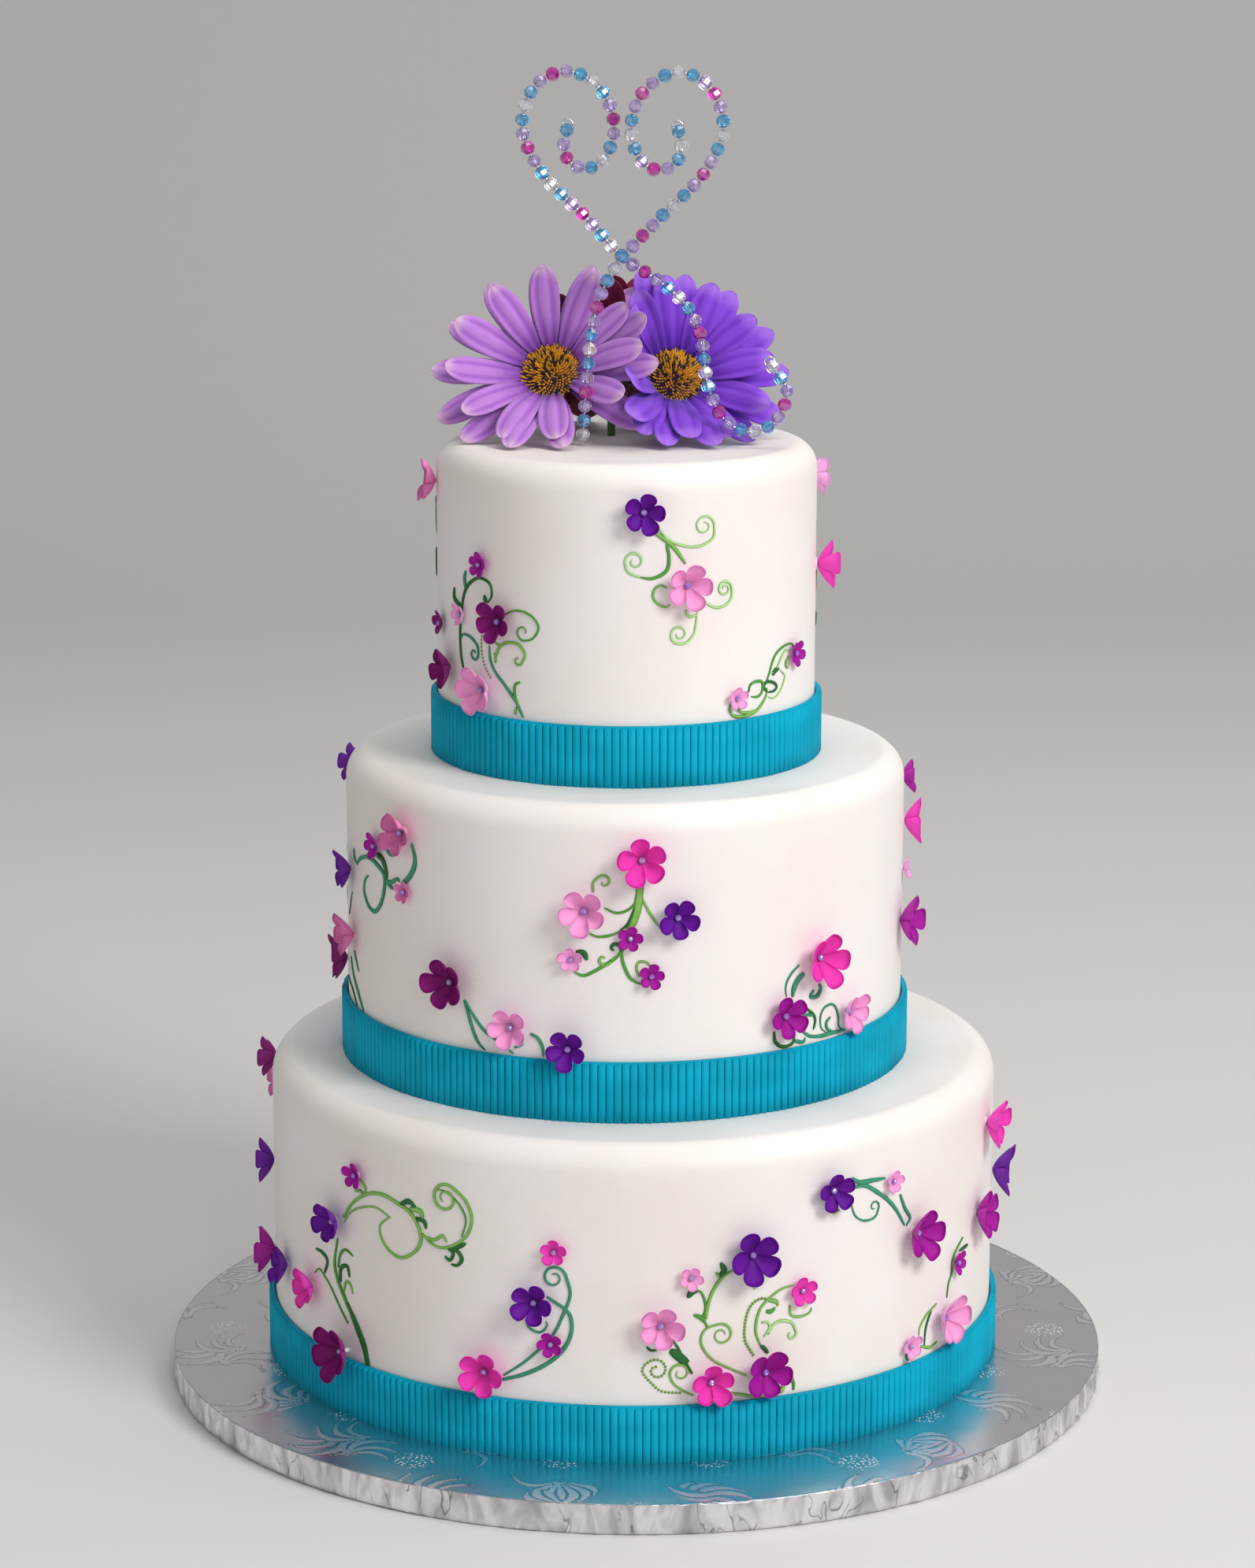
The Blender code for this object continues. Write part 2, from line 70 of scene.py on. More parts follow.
# Blossoms in view: degrees round from the front, millimetres up from the tier's foot and across,
# colour, and degrees from level to the middle of a petal
BLOSSOMS = {
    "bottom": [
        (-95, 120, 16, "plum", 10), (-101, 104, 15, "mauve", 40), (-90, 77, 18, "purple", 20),
        (-88, 38, 20, "magenta", 5), (-70.5, 47, 15, "purple", 30), (-59.4, 47, 15.5, "pink", 50),
        (-46.5, 105, 10, "magenta", 15), (-52, 81.4, 15.5, "purple", 55),
        (-48.9, 27.5, 21.5, "plum", 57), (-11.6, 87.9, 10, "pink", 16),
        (-14.6, 65.9, 16, "purple", 66), (-12.1, 48.7, 9.5, "magenta", 38),
        (-22.4, 34, 18, "pink", 66), (17.8, 85.5, 20.5, "purple", 40), (8.6, 77.6, 9, "blush", 60),
        (25.9, 67.5, 11, "pink", 25), (4.1, 57.8, 17, "blush", 65), (11.6, 33, 16, "pink", 20),
        (19.9, 35, 19, "magenta", 64), (30.9, 108.1, 15.5, "purple", 26),
        (42.6, 105.6, 8.5, "blush", 8), (48.1, 79.9, 19.5, "magenta", 0),
        (74, 108, 18.5, "pink", 12), (88, 75, 20, "purple", 45), (69, 72.1, 19.5, "magenta", 30),
        (60, 57.8, 9.5, "magenta", 50), (56, 36.6, 19, "blush", 2), (47, 31, 9.5, "blush", 33),
        (124, 116, 16, "blush", 60),
    ],
    "middle": [
        (-104, 116, 15, "purple", 15), (-49.7, 110.1, 17, "mauve", 0),
        (-59.6, 100.3, 10, "magenta", 40), (-76, 83, 15.5, "purple", 22),
        (-49, 85, 8.5, "mauve", 10), (-74, 55, 16, "mauve", 48), (-88.5, 37, 18, "plum", 30),
        (3.3, 109.2, 18.5, "pink", 28), (-7.7, 87.8, 17.5, "blush", 48),
        (10.3, 84.9, 15.5, "purple", 56), (1.2, 76.6, 9.5, "magenta", 4),
        (-10.3, 67.3, 9, "blush", 18), (5.3, 60.7, 9.5, "magenta", 5),
        (-36.1, 52.1, 19.5, "plum", 38), (-22.5, 36.8, 15.5, "blush", 41),
        (-10.6, 30.5, 15, "purple", 50), (41.6, 60.9, 19.5, "pink", 66),
        (33.1, 38.9, 16.5, "magenta", 40), (50.8, 34, 15.5, "blush", 58),
        (95, 115, 14, "magenta", 20), (88, 98.5, 18, "pink", 44), (84, 79.6, 9, "blush", 8),
        (79, 59.5, 19.5, "magenta", 62),
    ],
    "top": [
        (-84, 115, 17, "mauve", 30), (4.9, 113.3, 15.5, "purple", 3),
        (17.7, 83, 17.7, "blush", 0), (88, 79, 20, "pink", 24), (102, 114, 15, "blush", 50),
        (-47.9, 87.1, 9.5, "magenta", 12), (-57.9, 64.3, 8.5, "blush", 44),
        (-40.1, 64.9, 15.5, "plum", 53), (-73, 57, 9.5, "plum", 28), (-66, 40, 16, "plum", 60),
        (-47.1, 35, 18.5, "blush", 35), (34.1, 33.9, 8.5, "blush", 20),
        (59.5, 48, 10, "magenta", 56),
    ],
}
LEAST_NODE_DIAMETER = 14.0 * MM

# One spray is repeated round the side out of view: two blossoms and some vines, given as in the
# other lists but measured from the spray's middle. The vines alone also stand far round the
# sides. A place is degrees round from the front and millimetres up from the tier's foot.
BACK_SPRAY = [(-4.5, -14, 19, "magenta", 20), (5.5, 16, 15.5, "purple", 50)]
BACK_SPRAY_PLACES = {
    "bottom": [(146, 60), (182, 88), (222, 52)],
    "middle": [(132, 64), (180, 86), (226, 60)],
    "top": [(145, 58), (210, 78)],
}
SIDE_SPRAY_PLACES = {
    "bottom": [(-112, 78), (-99, 56), (98, 78), (116, 72)],
    "middle": [(-114, 78), (-100, 60), (101, 76)],
    "top": [(-102, 76), (106, 78)],
}
BACK_VINES = [
    ("green", 2.4, [(-9, -38), (-13, -24), (-11, -8), (-3, 3), (5, 12), (9, 24), (4, 33)], (-5, 1.2)),
    ("lime", 1.3, [(-12, -20), (-18, -12), (-20, -2), (-15, 6)], (-4, 1.1)),
    ("deep", 1.2, [(-3, 3), (6, -2), (15, -3), (20, 3)], (4.2, 1.3)),
    ("lime", 1.0, [(5, 12), (14, 15), (19, 23)], (3.4, 1.0)),
    ("deep", 2.8, [(-14, -26), (-20, -25), (-24, -20)], None),
    ("sea", 2.6, [(8, 22), (14, 25), (17, 31)], None),
    ("dots", 0.8, [(-4, 1), (-12, 8), (-14, 18), (-8, 24)], (-3.5, 0.9)),
    ("sea", 1.4, [(-9, -36), (-2, -30), (5, -30), (9, -34)], None),
]

# Sprays of painted vine: tier, degrees round to its middle line, then strokes. A stroke has its
# hue, its greatest width, knots across and up from the tier's foot, and the radius and turns of
# the curl it ends in, where it has one. Widths, knots and radii are in millimetres. The hue
# "dots" is a row of icing dots.
SPRAYS = [
    ("bottom", -40, [
        ("deep", 3.2, [(-12, 22), (-14.5, 31), (-20, 40), (-26, 48)], None),
        ("green", 1.9, [(-18, 37), (-27, 49), (-32, 56), (-34, 63), (-31.5, 74)], None),
        ("lime", 1.6, [
            (-27, 84.5), (-21, 92), (-12, 98), (-3, 100), (6, 98), (13, 95), (17.5, 88), (17, 82),
            (12, 77), (6.5, 75), (0.5, 77), (-3.5, 81.5), (-4, 86.5), (1, 91),
        ], None),
        ("lime", 0.9, [(-26.5, 82.5), (-22, 88), (-14, 92), (-6, 93.5), (2, 91)], None),
        ("lime", 1.4, [
            (18.5, 87.5), (23.5, 84), (29.5, 83.5), (36.5, 87), (41, 92.5), (42, 99), (39, 105.5),
            (33, 110),
        ], (6.2, 1.5)),
        ("green", 0.8, [(37.5, 89.5), (39.5, 97), (36, 103.5), (30, 107.5), (24.5, 107.5)], None),
        ("deep", 2.2, [(7, 97.5), (11.5, 100), (15.5, 98)], None),
        ("lime", 2.4, [(12.5, 97), (17.5, 97), (19, 94)], None),
        ("deep", 2.0, [(15.5, 93.5), (19.5, 93), (20.5, 90)], None),
        ("lime", 1.5, [(19.5, 86.5), (24.5, 86), (28.5, 88.5), (30.5, 86)], None),
        ("deep", 1.8, [(31, 84), (35.5, 83), (37.5, 80), (35.5, 77), (32.5, 77)], None),
        ("deep", 1.5, [(31, 83.5), (33.5, 82), (32, 78.5), (29.5, 80)], None),
        ("deep", 1.9, [(33.5, 84), (37, 85.5), (39.5, 87)], None),
        ("green", 1.0, [
            (-25, 38.5), (-30.5, 44), (-37, 51), (-42, 54.5), (-46.5, 56.5), (-50.5, 53.5),
        ], None),
        ("deep", 1.8, [(-42, 56), (-39.5, 62), (-44, 64.5), (-49.5, 64.5)], None),
        ("green", 1.4, [(-31.5, 61.5), (-29.5, 68), (-25.5, 70.5), (-21, 69)], None),
        ("deep", 1.9, [(-30, 55.5), (-29.5, 61.5), (-25, 63.5), (-23.5, 59)], None),
        ("lime", 1.2, [(-27.5, 52), (-26, 56.5), (-23, 56), (-21.5, 52.5)], None),
        ("lime", 1.0, [(-13.5, 97.5), (-12.5, 101), (-16, 103.5)], None),
        ("lime", 1.3, [(-13.5, 97), (-16, 98.5), (-19.5, 97.5)], None),
    ]),
    ("bottom", -14, [
        ("sea", 1.8, [
            (-15.5, 31), (-6, 34.5), (3, 39.5), (9.5, 45.5), (13, 52), (13.5, 58.5), (11.5, 63),
            (3.5, 68.5),
        ], None),
        ("sea", 1.3, [
            (-15, 33), (-7.5, 38.5), (-0.5, 45), (6, 52.5), (10, 61), (13, 70), (11, 78.5),
        ], (4.9, 1.3)),
        ("sea", 1.0, [(-5.5, 58), (-4, 54.5), (0.5, 53), (3.5, 56), (3, 58)], None),
    ]),
    ("bottom", 14, [
        ("deep", 1.2, [(-14, 36.5), (-17, 42), (-20, 48), (-23, 52.5)], None),
        ("deep", 4.0, [(-16, 41), (-20, 44.5), (-23, 47)], None),
        ("deep", 1.1, [(-32.5, 48.5), (-31, 47), (-28.5, 47)], None),
        ("dots", 0.8, [
            (-19, 28.5), (-26.5, 29.5), (-31, 33.5), (-34, 37.5), (-33.5, 40.5), (-31, 42.5),
        ], (-4.6, 1.1)),
        ("lime", 1.0, [(-13.5, 27), (-18, 29.5), (-21.5, 32.5), (-23, 35.5)], (-4.3, 1.2)),
        ("lime", 1.0, [
            (8.5, 34), (1, 38), (-5, 41.5), (-9, 46), (-10.5, 50.5), (-9.5, 54), (-7, 56),
            (-2.5, 57),
        ], (-4.6, 1.3)),
        ("green", 1.2, [(-7.5, 55.5), (-9.5, 60), (-8.5, 63.5), (-9, 67.5), (-10.5, 71), (-13, 72)], None),
        ("deep", 2.7, [(-12, 72), (-14, 71.5), (-16, 69)], None),
        ("lime", 1.5, [(-8.5, 59.5), (-7.5, 66), (-5.5, 71.5), (-2, 76.5), (4, 80)], None),
        ("deep", 2.5, [(-3, 77), (-1, 79.5), (-2.5, 83)], None),
        ("lime", 1.4, [(-3, 77), (-4.5, 79)], None),
        ("green", 1.8, [(-9, 58.5), (-11, 60.5), (-13.5, 61.5)], None),
        ("pale", 2.3, [(15, 77.5), (14, 73.5), (11.5, 70.5)], None),
        ("lime", 1.2, [(14.5, 46.5), (12.5, 53), (14, 61), (18, 65.5), (23.5, 69), (29, 70)], None),
        ("dots", 0.9, [(11.5, 42.5), (8, 49), (8, 56.5), (10, 63), (14, 66), (18, 65.5)], None),
        ("lime", 1.8, [(18, 65), (21.5, 64), (22, 62)], None),
        ("green", 1.8, [(17, 60.5), (19, 60), (21, 61.5)], None),
        ("lime", 1.0, [(27.5, 61.5), (28, 57.5), (32, 56), (36.5, 57), (37.5, 59)], None),
        ("pale", 1.2, [(18, 50.5), (20, 54), (23.5, 55.5), (28.5, 54), (30.5, 50)], (-2.4, 0.8)),
        ("pale", 1.1, [(15, 56), (18, 55.5), (18.5, 53), (16, 49.5)], None),
        ("deep", 1.9, [(18, 42.5), (16, 45), (14.5, 46)], None),
        ("lime", 1.2, [(1.5, 27), (6, 26), (11.5, 24.5), (15, 24)], None),
        ("green", 1.3, [(29.5, 25), (29.5, 28), (27.5, 33.5)], None),
        ("lime", 2.2, [(23, 25), (24.5, 26), (25, 28)], None),
    ]),
    ("bottom", 40, [
        ("sea", 2.0, [(-14.5, 111), (-10.5, 108.5), (-4, 108), (3.5, 107.5)], None),
        ("sea", 1.8, [(-14, 107), (-7.5, 106.5), (-1, 102.5), (5.5, 97.5), (10.5, 92), (15.5, 84.5)], None),
        ("sea", 1.6, [(12.5, 98.5), (15.5, 92), (19, 87), (16.5, 84)], None),
        ("sea", 0.9, [(-15, 100.5), (-12.5, 94.5), (-7.5, 91.5), (-2, 92), (0, 95.5)], (2.7, 0.9)),
        ("lime", 1.2, [(-25.5, 99.5), (-23.5, 98), (-20.5, 98.5)], None),
    ]),
    ("bottom", 60, [
        ("green", 1.1, [(7.5, 66.5), (1, 63), (-3, 59), (-3, 54), (-6, 49.5), (-7, 44)], None),
        ("deep", 1.6, [(13, 61.5), (4, 61.5)], None),
        ("lime", 1.1, [(-15.5, 44), (-22.5, 41.5), (-27.5, 37.5), (-28.5, 33.5)], None),
        ("deep", 1.3, [(-19.5, 42.5), (-23.5, 35.5), (-24.5, 27.5)], None),
        ("lime", 1.3, [(-27, 28.5), (-20, 26), (-14.5, 27)], None),
        ("sea", 2.2, [(-36.5, 27.5), (-35, 24.5)], None),
    ]),
    ("middle", -50, [
        ("sea", 2.0, [
            (-43, 87.5), (-39, 90.5), (-32, 93), (-26, 93.5), (-19.5, 92), (-14.5, 89.5),
            (-13.5, 86), (-15, 80), (-18, 75), (-22.5, 71.5), (-28, 72), (-32, 75), (-34, 78.5),
            (-32.5, 83), (-29, 85.5),
        ], None),
        ("sea", 1.6, [(-48, 93), (-47.5, 90), (-44.5, 87.5)], None),
        ("deep", 2.8, [(-20, 96.5), (-15.5, 95.5), (-12.5, 91.5), (-12, 88)], None),
        ("sea", 1.8, [(-12.5, 87), (-8.5, 87), (-4, 89.5), (-2.5, 88.5)], None),
        ("sea", 1.6, [(-12, 86.5), (-9, 85), (-6.5, 84.5)], None),
        ("sea", 2.4, [(-0.5, 88), (4, 91.5), (7.5, 96.5), (8, 101), (6, 106.5)], None),
        ("sea", 2.0, [(-11, 107), (-11.5, 103.5), (-11, 100), (-7.5, 99), (-4, 101)], None),
        ("sea", 0.8, [(-52.5, 73), (-56, 67.5), (-61, 61)], None),
    ]),
    ("middle", -66, [
        ("sea", 2.0, [(-3, 25), (-10, 31), (-18.5, 37), (-24, 43.5)], None),
        ("deep", 1.1, [(-12, 25), (-21, 30), (-35, 32.5)], None),
        ("sea", 1.0, [(-16, 48), (-13, 44.5), (-9, 40.5)], None),
    ]),
    ("middle", -26, [
        ("sea", 1.6, [(-15, 45), (-13, 39), (-10.5, 32), (-8, 27.5), (-5, 25.2)], None),
        ("sea", 1.4, [(-14.5, 44.5), (-10.5, 39), (-5.5, 33.5), (-0.5, 30.5), (4.5, 27.5), (8, 25.4)], None),
        ("sea", 1.4, [(15.5, 34.5), (18.5, 33), (20.5, 29.5), (21, 25.4)], None),
        ("sea", 1.2, [(8.5, 28), (10.5, 29), (12.5, 30)], None),
    ]),
    ("middle", 0, [
        ("lime", 3.4, [(6.5, 101.5), (6, 93.5), (5, 87), (3, 81.5), (-0.5, 77.5)], None),
        ("deep", 1.2, [(4.5, 89.5), (1.5, 82.5), (-2, 79.5)], None),
        ("green", 1.1, [(5, 92), (2, 88.5), (-3, 87), (-8, 89)], None),
        ("lime", 1.0, [(7.5, 92.5), (10, 87.5), (13, 82.5), (14.5, 80.5)], None),
        ("lime", 1.1, [(-12.5, 95.5), (-12.5, 99.5), (-10, 102)], (-2.8, 0.9)),
        ("green", 1.1, [(-1, 79.5), (-6, 77.5), (-11, 77), (-14.5, 78.5)], None),
        ("green", 1.5, [
            (-0.5, 71.5), (-3, 68.5), (-6.5, 66), (-12, 62.5), (-16.5, 60.5), (-20.5, 62),
        ], None),
        ("lime", 1.5, [(-3.5, 68.5), (-6.5, 65.5)], (-2.5, 0.8)),
        ("deep", 1.7, [(-1, 71), (-2, 73.5), (-3.5, 74)], (1.8, 0.6)),
        ("green", 1.4, [(-1, 71.5), (-0.5, 66.5), (2, 60.5), (5, 58), (7.5, 57)], None),
        ("lime", 1.1, [(6, 60.5), (5, 64), (6, 66.5), (9, 66.5), (11, 64.5)], None),
        ("deep", 2.5, [(-19.5, 70), (-16.5, 70), (-15, 67)], None),
    ]),
    ("middle", 42, [
        ("sea", 1.0, [(-10.5, 59), (-14, 56.5), (-16.5, 53.5), (-17.5, 50), (-17, 46.5)], None),
        ("sea", 2.6, [(-8, 55), (-11, 53), (-13, 50), (-14, 46)], None),
        ("sea", 1.7, [(0.5, 49), (1.5, 47), (-0.5, 44), (-4.5, 44.5), (-2.5, 47)], None),
        ("deep", 1.4, [(-6, 39.5), (-2.5, 36.5), (-1.5, 33.5), (-2.5, 30)], None),
        ("sea", 1.5, [(-8.5, 37), (-5.5, 37), (-2.5, 36)], None),
        ("sea", 1.6, [(-8.5, 30.5), (-4, 27.5), (2.5, 26.5), (8.5, 26.5), (17.5, 26)], None),
        ("sea", 1.0, [
            (16.5, 26), (13, 28.5), (12.5, 33), (10.5, 37.5), (7.5, 39), (3.5, 38), (1.5, 34.5),
            (2, 30), (5, 27.5),
        ], None),
        ("sea", 1.4, [(7.5, 33.5), (5, 31.5), (6, 28.5), (9.5, 27)], None),
        ("deep", 1.5, [
            (-23, 32.5), (-22.5, 28.5), (-20, 26), (-16.5, 25.4), (-13.5, 26.5), (-12.5, 30.5),
        ], None),
        ("sea", 1.6, [(-12.5, 27), (-8, 25.8), (-7, 27.5)], None),
    ]),
    ("top", -52, [
        ("deep", 1.5, [
            (-5.5, 37.5), (-9, 46), (-10, 56), (-8.5, 66.5), (-5, 75.5), (3, 81), (10.5, 80),
            (12, 75), (9.5, 71.5),
        ], None),
        ("deep", 2.4, [(-9.5, 67.5), (-15, 70), (-15, 74.5)], None),
        ("sea", 2.0, [(-5.5, 76), (-6, 80), (-5, 83)], None),
        ("deep", 2.0, [(8.5, 71.5), (7.5, 74.5)], None),
        ("sea", 1.2, [(-9, 54.5), (-7, 56), (-1.5, 55.5), (3, 52.5), (3.5, 49)], (-2.8, 1.0)),
        ("dots", 0.7, [(6, 58.5), (5.5, 52.5), (7, 46), (11, 40.5)], None),
        ("sea", 1.4, [(28.5, 26), (25, 32), (19, 38.5), (14, 43), (11, 48), (10.5, 54)], None),
        ("green", 0.9, [
            (19.5, 68), (24, 70), (29, 70), (33.5, 68), (36, 64), (33.5, 59.5), (29.5, 58),
        ], (-3.5, 0.9)),
        ("lime", 1.3, [
            (14, 47), (14.5, 51), (17.5, 55), (22, 56.5), (26.5, 56), (29.5, 52.5), (28, 48.5),
        ], (-2.2, 0.8)),
        ("lime", 1.1, [(14, 55.5), (16, 54.5), (15, 51), (13, 50.5)], None),
        ("green", 1.4, [(27, 40.5), (24.5, 39), (24.5, 34), (27, 28.5), (28.5, 26)], None),
        ("lime", 1.2, [(24.5, 26.8), (25, 30)], None),
    ]),
    ("top", 10, [
        ("lime", 1.8, [(-3.5, 105.5), (1.5, 102), (6, 98), (10.5, 91.5)], None),
        ("pale", 1.0, [
            (-1.5, 107.5), (3, 102), (9.5, 99), (16.5, 98.5), (22.5, 101.5), (23, 107),
        ], (4.4, 1.3)),
        ("green", 1.5, [(2.5, 100), (3.5, 94.5), (2.5, 89), (-3, 86), (-8.5, 86.5)], None),
        ("pale", 1.0, [(-8.5, 86.5), (-13, 88.5), (-14.5, 92)], (-4.0, 1.2)),
        ("lime", 1.1, [(2.5, 82), (0, 83), (-2.5, 81.5), (-3, 78), (-0.5, 75), (2.5, 74), (4, 75)], None),
        ("pale", 1.1, [
            (16.5, 77.5), (20, 74.5), (24.5, 72.5), (29, 73.5), (31.5, 76.5), (31.5, 80.5),
        ], (3.4, 1.5)),
        ("pale", 1.0, [(11, 72.5), (11, 70.5), (13, 69.5), (15.5, 70.5), (16, 72)], None),
        ("pale", 1.0, [(15.5, 70), (15, 66), (14, 62), (11, 59), (8, 58.5)], (-4.0, 1.3)),
    ]),
    ("top", 46, [
        ("lime", 1.4, [
            (-19, 31.5), (-19.5, 29), (-18, 26.8), (-14.5, 25.8), (-10, 26), (-5, 27.5),
            (-1.5, 30.5), (0.5, 33.5), (0.5, 36),
        ], None),
        ("lime", 1.3, [(-16, 29.5), (-13.5, 27.5), (-9.5, 27), (-6.5, 27.5)], None),
        ("deep", 1.4, [(1, 34), (-1.5, 37), (1, 38.5), (5, 37.5), (7, 35.5), (5, 34), (1.5, 34)], None),
        ("green", 1.2, [
            (-10, 35.5), (-9, 38.5), (-6, 39.5), (-2.5, 39), (-2, 36), (-3, 34), (-5, 33),
            (-8.5, 33.5),
        ], None),
        ("green", 1.1, [(0.5, 39), (2, 42), (4, 46.5), (7, 50), (12.5, 52), (18, 52), (20, 49.5)], None),
        ("pale", 1.0, [(3.5, 41.5), (7, 43.5), (10, 47.5), (13, 50), (16, 49.5)], None),
        ("deep", 2.2, [(4, 41), (6, 42.5), (8.5, 43)], None),
        ("lime", 1.2, [(15.5, 47), (13.5, 45), (13.5, 43), (15.5, 42)], None),
        ("pale", 0.8, [(9.5, 42), (12.5, 39.5), (11.5, 36), (8.5, 32.5), (5, 31), (1.5, 32)], None),
    ]),
]

# Silk daisies: place of the head from the middle of the top tier's top, the way it faces in
# degrees round from the front and up, its radius, how far across its petals may reach to the
# other head, and in degrees where the petals part, as they do round the front wire
Daisy = namedtuple("Daisy", "place turn lift radius limit parting")
DAISIES = {
    "lilac": Daisy((-32 * MM, 6 * MM, 27 * MM), -14, 36, 48 * MM, 9 * MM, -50),
    "violet": Daisy((20 * MM, 8 * MM, 25 * MM), 14, 34, 46 * MM, 4 * MM, 178),
    "wine": Daisy((-6 * MM, 27 * MM, 29 * MM), 178, 30, 42 * MM, None, -90),
}
PARTING_WIDTH = 18
DISC_RADIUS = 12.5 * MM
DISC_HEIGHT = 5.0 * MM
# Rings of petals: how many, reach as a share of the head's, degrees of lean, start before the disc
PETAL_RINGS = [(13, 1.0, 6, -1.3 * MM), (11, 0.88, 26, 1.5 * MM)]
PETAL_REST = 3.0 * MM
LEAN_STEP, MOST_LEAN = 5, 50
SPAN_STEP, LEAST_SPAN = 2.0 * MM, 14.0 * MM
LIMIT_VARIES = 2.5 * MM
# The rear head's petals lean back till their tips are behind the front heads, which slope back
# from this far in front of the middle, but for those that rise between the heads
REAR_START, REAR_SLOPE = -3.0 * MM, 0.72
REAR_LEAN = 65
REAR_FREE = 12.0 * MM
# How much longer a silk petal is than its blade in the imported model
FULL_SPAN = {"lilac": 1.10, "violet": 1.09, "wine": 1.04}
ROOT_REACH = 0.86 * DISC_RADIUS
# The other colour at the petals' tips, and the share of a petal's length where it starts
SILK_TIPS = {
    "lilac": ((0.64, 0.42, 0.60), 0.88), "violet": ((0.32, 0.13, 0.68), 0.80),
    "wine": ((0.22, 0.01, 0.05), 0.90),
}
STEM_GREEN = (0.045, 0.15, 0.03)

# Beaded wires: how far apart their planes are, and where the middle between the two is
WIRE_SPACING = 6.8 * MM
WIRE_PLANE = -9.0 * MM
# Where a wire starts to bend forward on its way down, the height that takes, and how far it comes
BEND_TOP, BEND_HEIGHT = 60.0 * MM, 36.0 * MM
WIRE_BENDS = {"front": 6.0 * MM, "back": 16.0 * MM}
BEAD_PITCH = 5.9 * MM
# Knots across and up from the middle of the top tier's top, in millimetres
WIRE_KNOTS = {
    "front": [
        (-18.3, 4.3), (-16.4, 28.8), (-14.2, 50), (-9.5, 65), (-2, 77), (13, 93), (31, 111),
        (39.5, 130), (34, 147), (20, 153), (6.5, 145), (1.5, 131), (5, 118), (14, 113),
        (22, 119), (21, 129),
    ],
    "back": [
        (60.5, 33), (66.5, 23), (62, 10.8), (51.5, 5.9), (40, 11.8), (33.5, 26), (30.5, 45),
        (23.5, 58), (11.5, 68), (-2, 77), (-17, 93), (-35, 111), (-43.5, 130), (-38, 147),
        (-24, 153), (-10.5, 145), (-5.5, 131), (-9, 118), (-18, 113), (-26, 119), (-25, 129),
    ],
}
EYELET_RADIUS = 2.2 * MM

# Camera: where the photograph was taken from
CAMERA_PLACE = (-0.00175, -1.78974, 0.66554)
CAMERA_PITCH = -0.22332
CAMERA_YAW = 0.00152
CAMERA_ROLL = 0.00233
CAMERA_LENS = 98.3

# Lamps: place, width, power as a share of the key light's, colour
LAMPS = {
    "key": ((1.5, -1.5, 1.7), 1.1, 1.0, (1.0, 0.98, 0.96)),
    "glint": ((0.35, -1.9, 1.0), 0.25, 0.06, (1.0, 1.0, 1.0)),
    "top": ((0.3, 0.3, 2.2), 1.6, 0.35, (1.0, 0.99, 0.98)),
    "fill": ((-1.8, -1.6, 0.9), 1.6, 0.10, (1.0, 0.95, 0.88)),
}
LAMP_TARGET = (0.0, 0.0, 0.28)
SURROUNDINGS = (0.9, 0.92, 0.95, 1.0)
# Floor: front and back edge, half its width, and how far it lies below the board. The backdrop
# rises from its back edge in a quarter circle of this radius and ends at this height.
FLOOR_FRONT, FLOOR_BACK, FLOOR_HALF, FLOOR_CLEAR = -3.0, 1.8, 4.0, 0.2 * MM
BACKDROP_RADIUS, BACKDROP_TOP, BACKDROP_STEPS = 1.2, 4.0, 16
FLOOR_TONE = (0.66, 0.64, 0.63)


# Sizes and colours

def colour(name, description, value):
    return bpy.props.FloatVectorProperty(
        name=name, description=description, subtype="COLOR", size=3, min=0, max=1, default=value
    )


def length(name, description, value):
    return bpy.props.FloatProperty(
        name=name, description=description, subtype="DISTANCE", unit="LENGTH", min=0,
        default=value, precision=4,
    )


def count(name, description, value):
    return bpy.props.IntProperty(name=name, description=description, min=1, default=value)


def share(name, description, value):
    return bpy.props.FloatProperty(
        name=name, description=description, subtype="FACTOR", min=0, max=1, default=value
    )


class CakeColours(bpy.types.PropertyGroup):
    """Colours of the cake, as linear values."""

    covering: colour("Covering", "Sugar paste of the three tiers", (0.84, 0.805, 0.785))
    ribbon: colour("Ribbon", "Ribbed ribbon of sugar paste", (0.0, 0.375, 0.55))
    purple: colour("Purple", "Dark violet blossoms", (0.125, 0.002, 0.30))
    magenta: colour("Magenta", "Magenta blossoms", (0.36, 0.003, 0.31))
    plum: colour("Plum", "Dark magenta blossoms", (0.20, 0.0, 0.14))
    pink: colour("Pink", "Bright pink blossoms", (0.80, 0.04, 0.44))
    blush: colour("Blush", "Light pink blossoms", (0.90, 0.35, 0.66))
    mauve: colour("Mauve", "Dusky pink blossoms", (0.66, 0.17, 0.40))
    pearl: colour("Pearl", "Pearls in the blossoms", (0.36, 0.15, 0.66))
    deep: colour("Deep green", "Darkest strokes of vine", (0.012, 0.13, 0.02))
    green: colour("Green", "Leaf green strokes of vine", (0.075, 0.30, 0.035))
    lime: colour("Lime", "Fresh green strokes of vine", (0.22, 0.44, 0.09))
    sea: colour("Sea green", "Blue green strokes of vine", (0.035, 0.27, 0.16))
    pale: colour("Pale green", "Palest strokes of vine", (0.43, 0.66, 0.26))
    lilac: colour("Lilac", "Silk of the left daisy", (0.47, 0.20, 0.62))
    violet: colour("Violet", "Silk of the right daisy", (0.21, 0.05, 0.60))
    wine: colour("Wine", "Silk of the rear daisy", (0.14, 0.0, 0.03))
    disc: colour("Disc", "Golden florets of the daisies", (0.95, 0.47, 0.0))


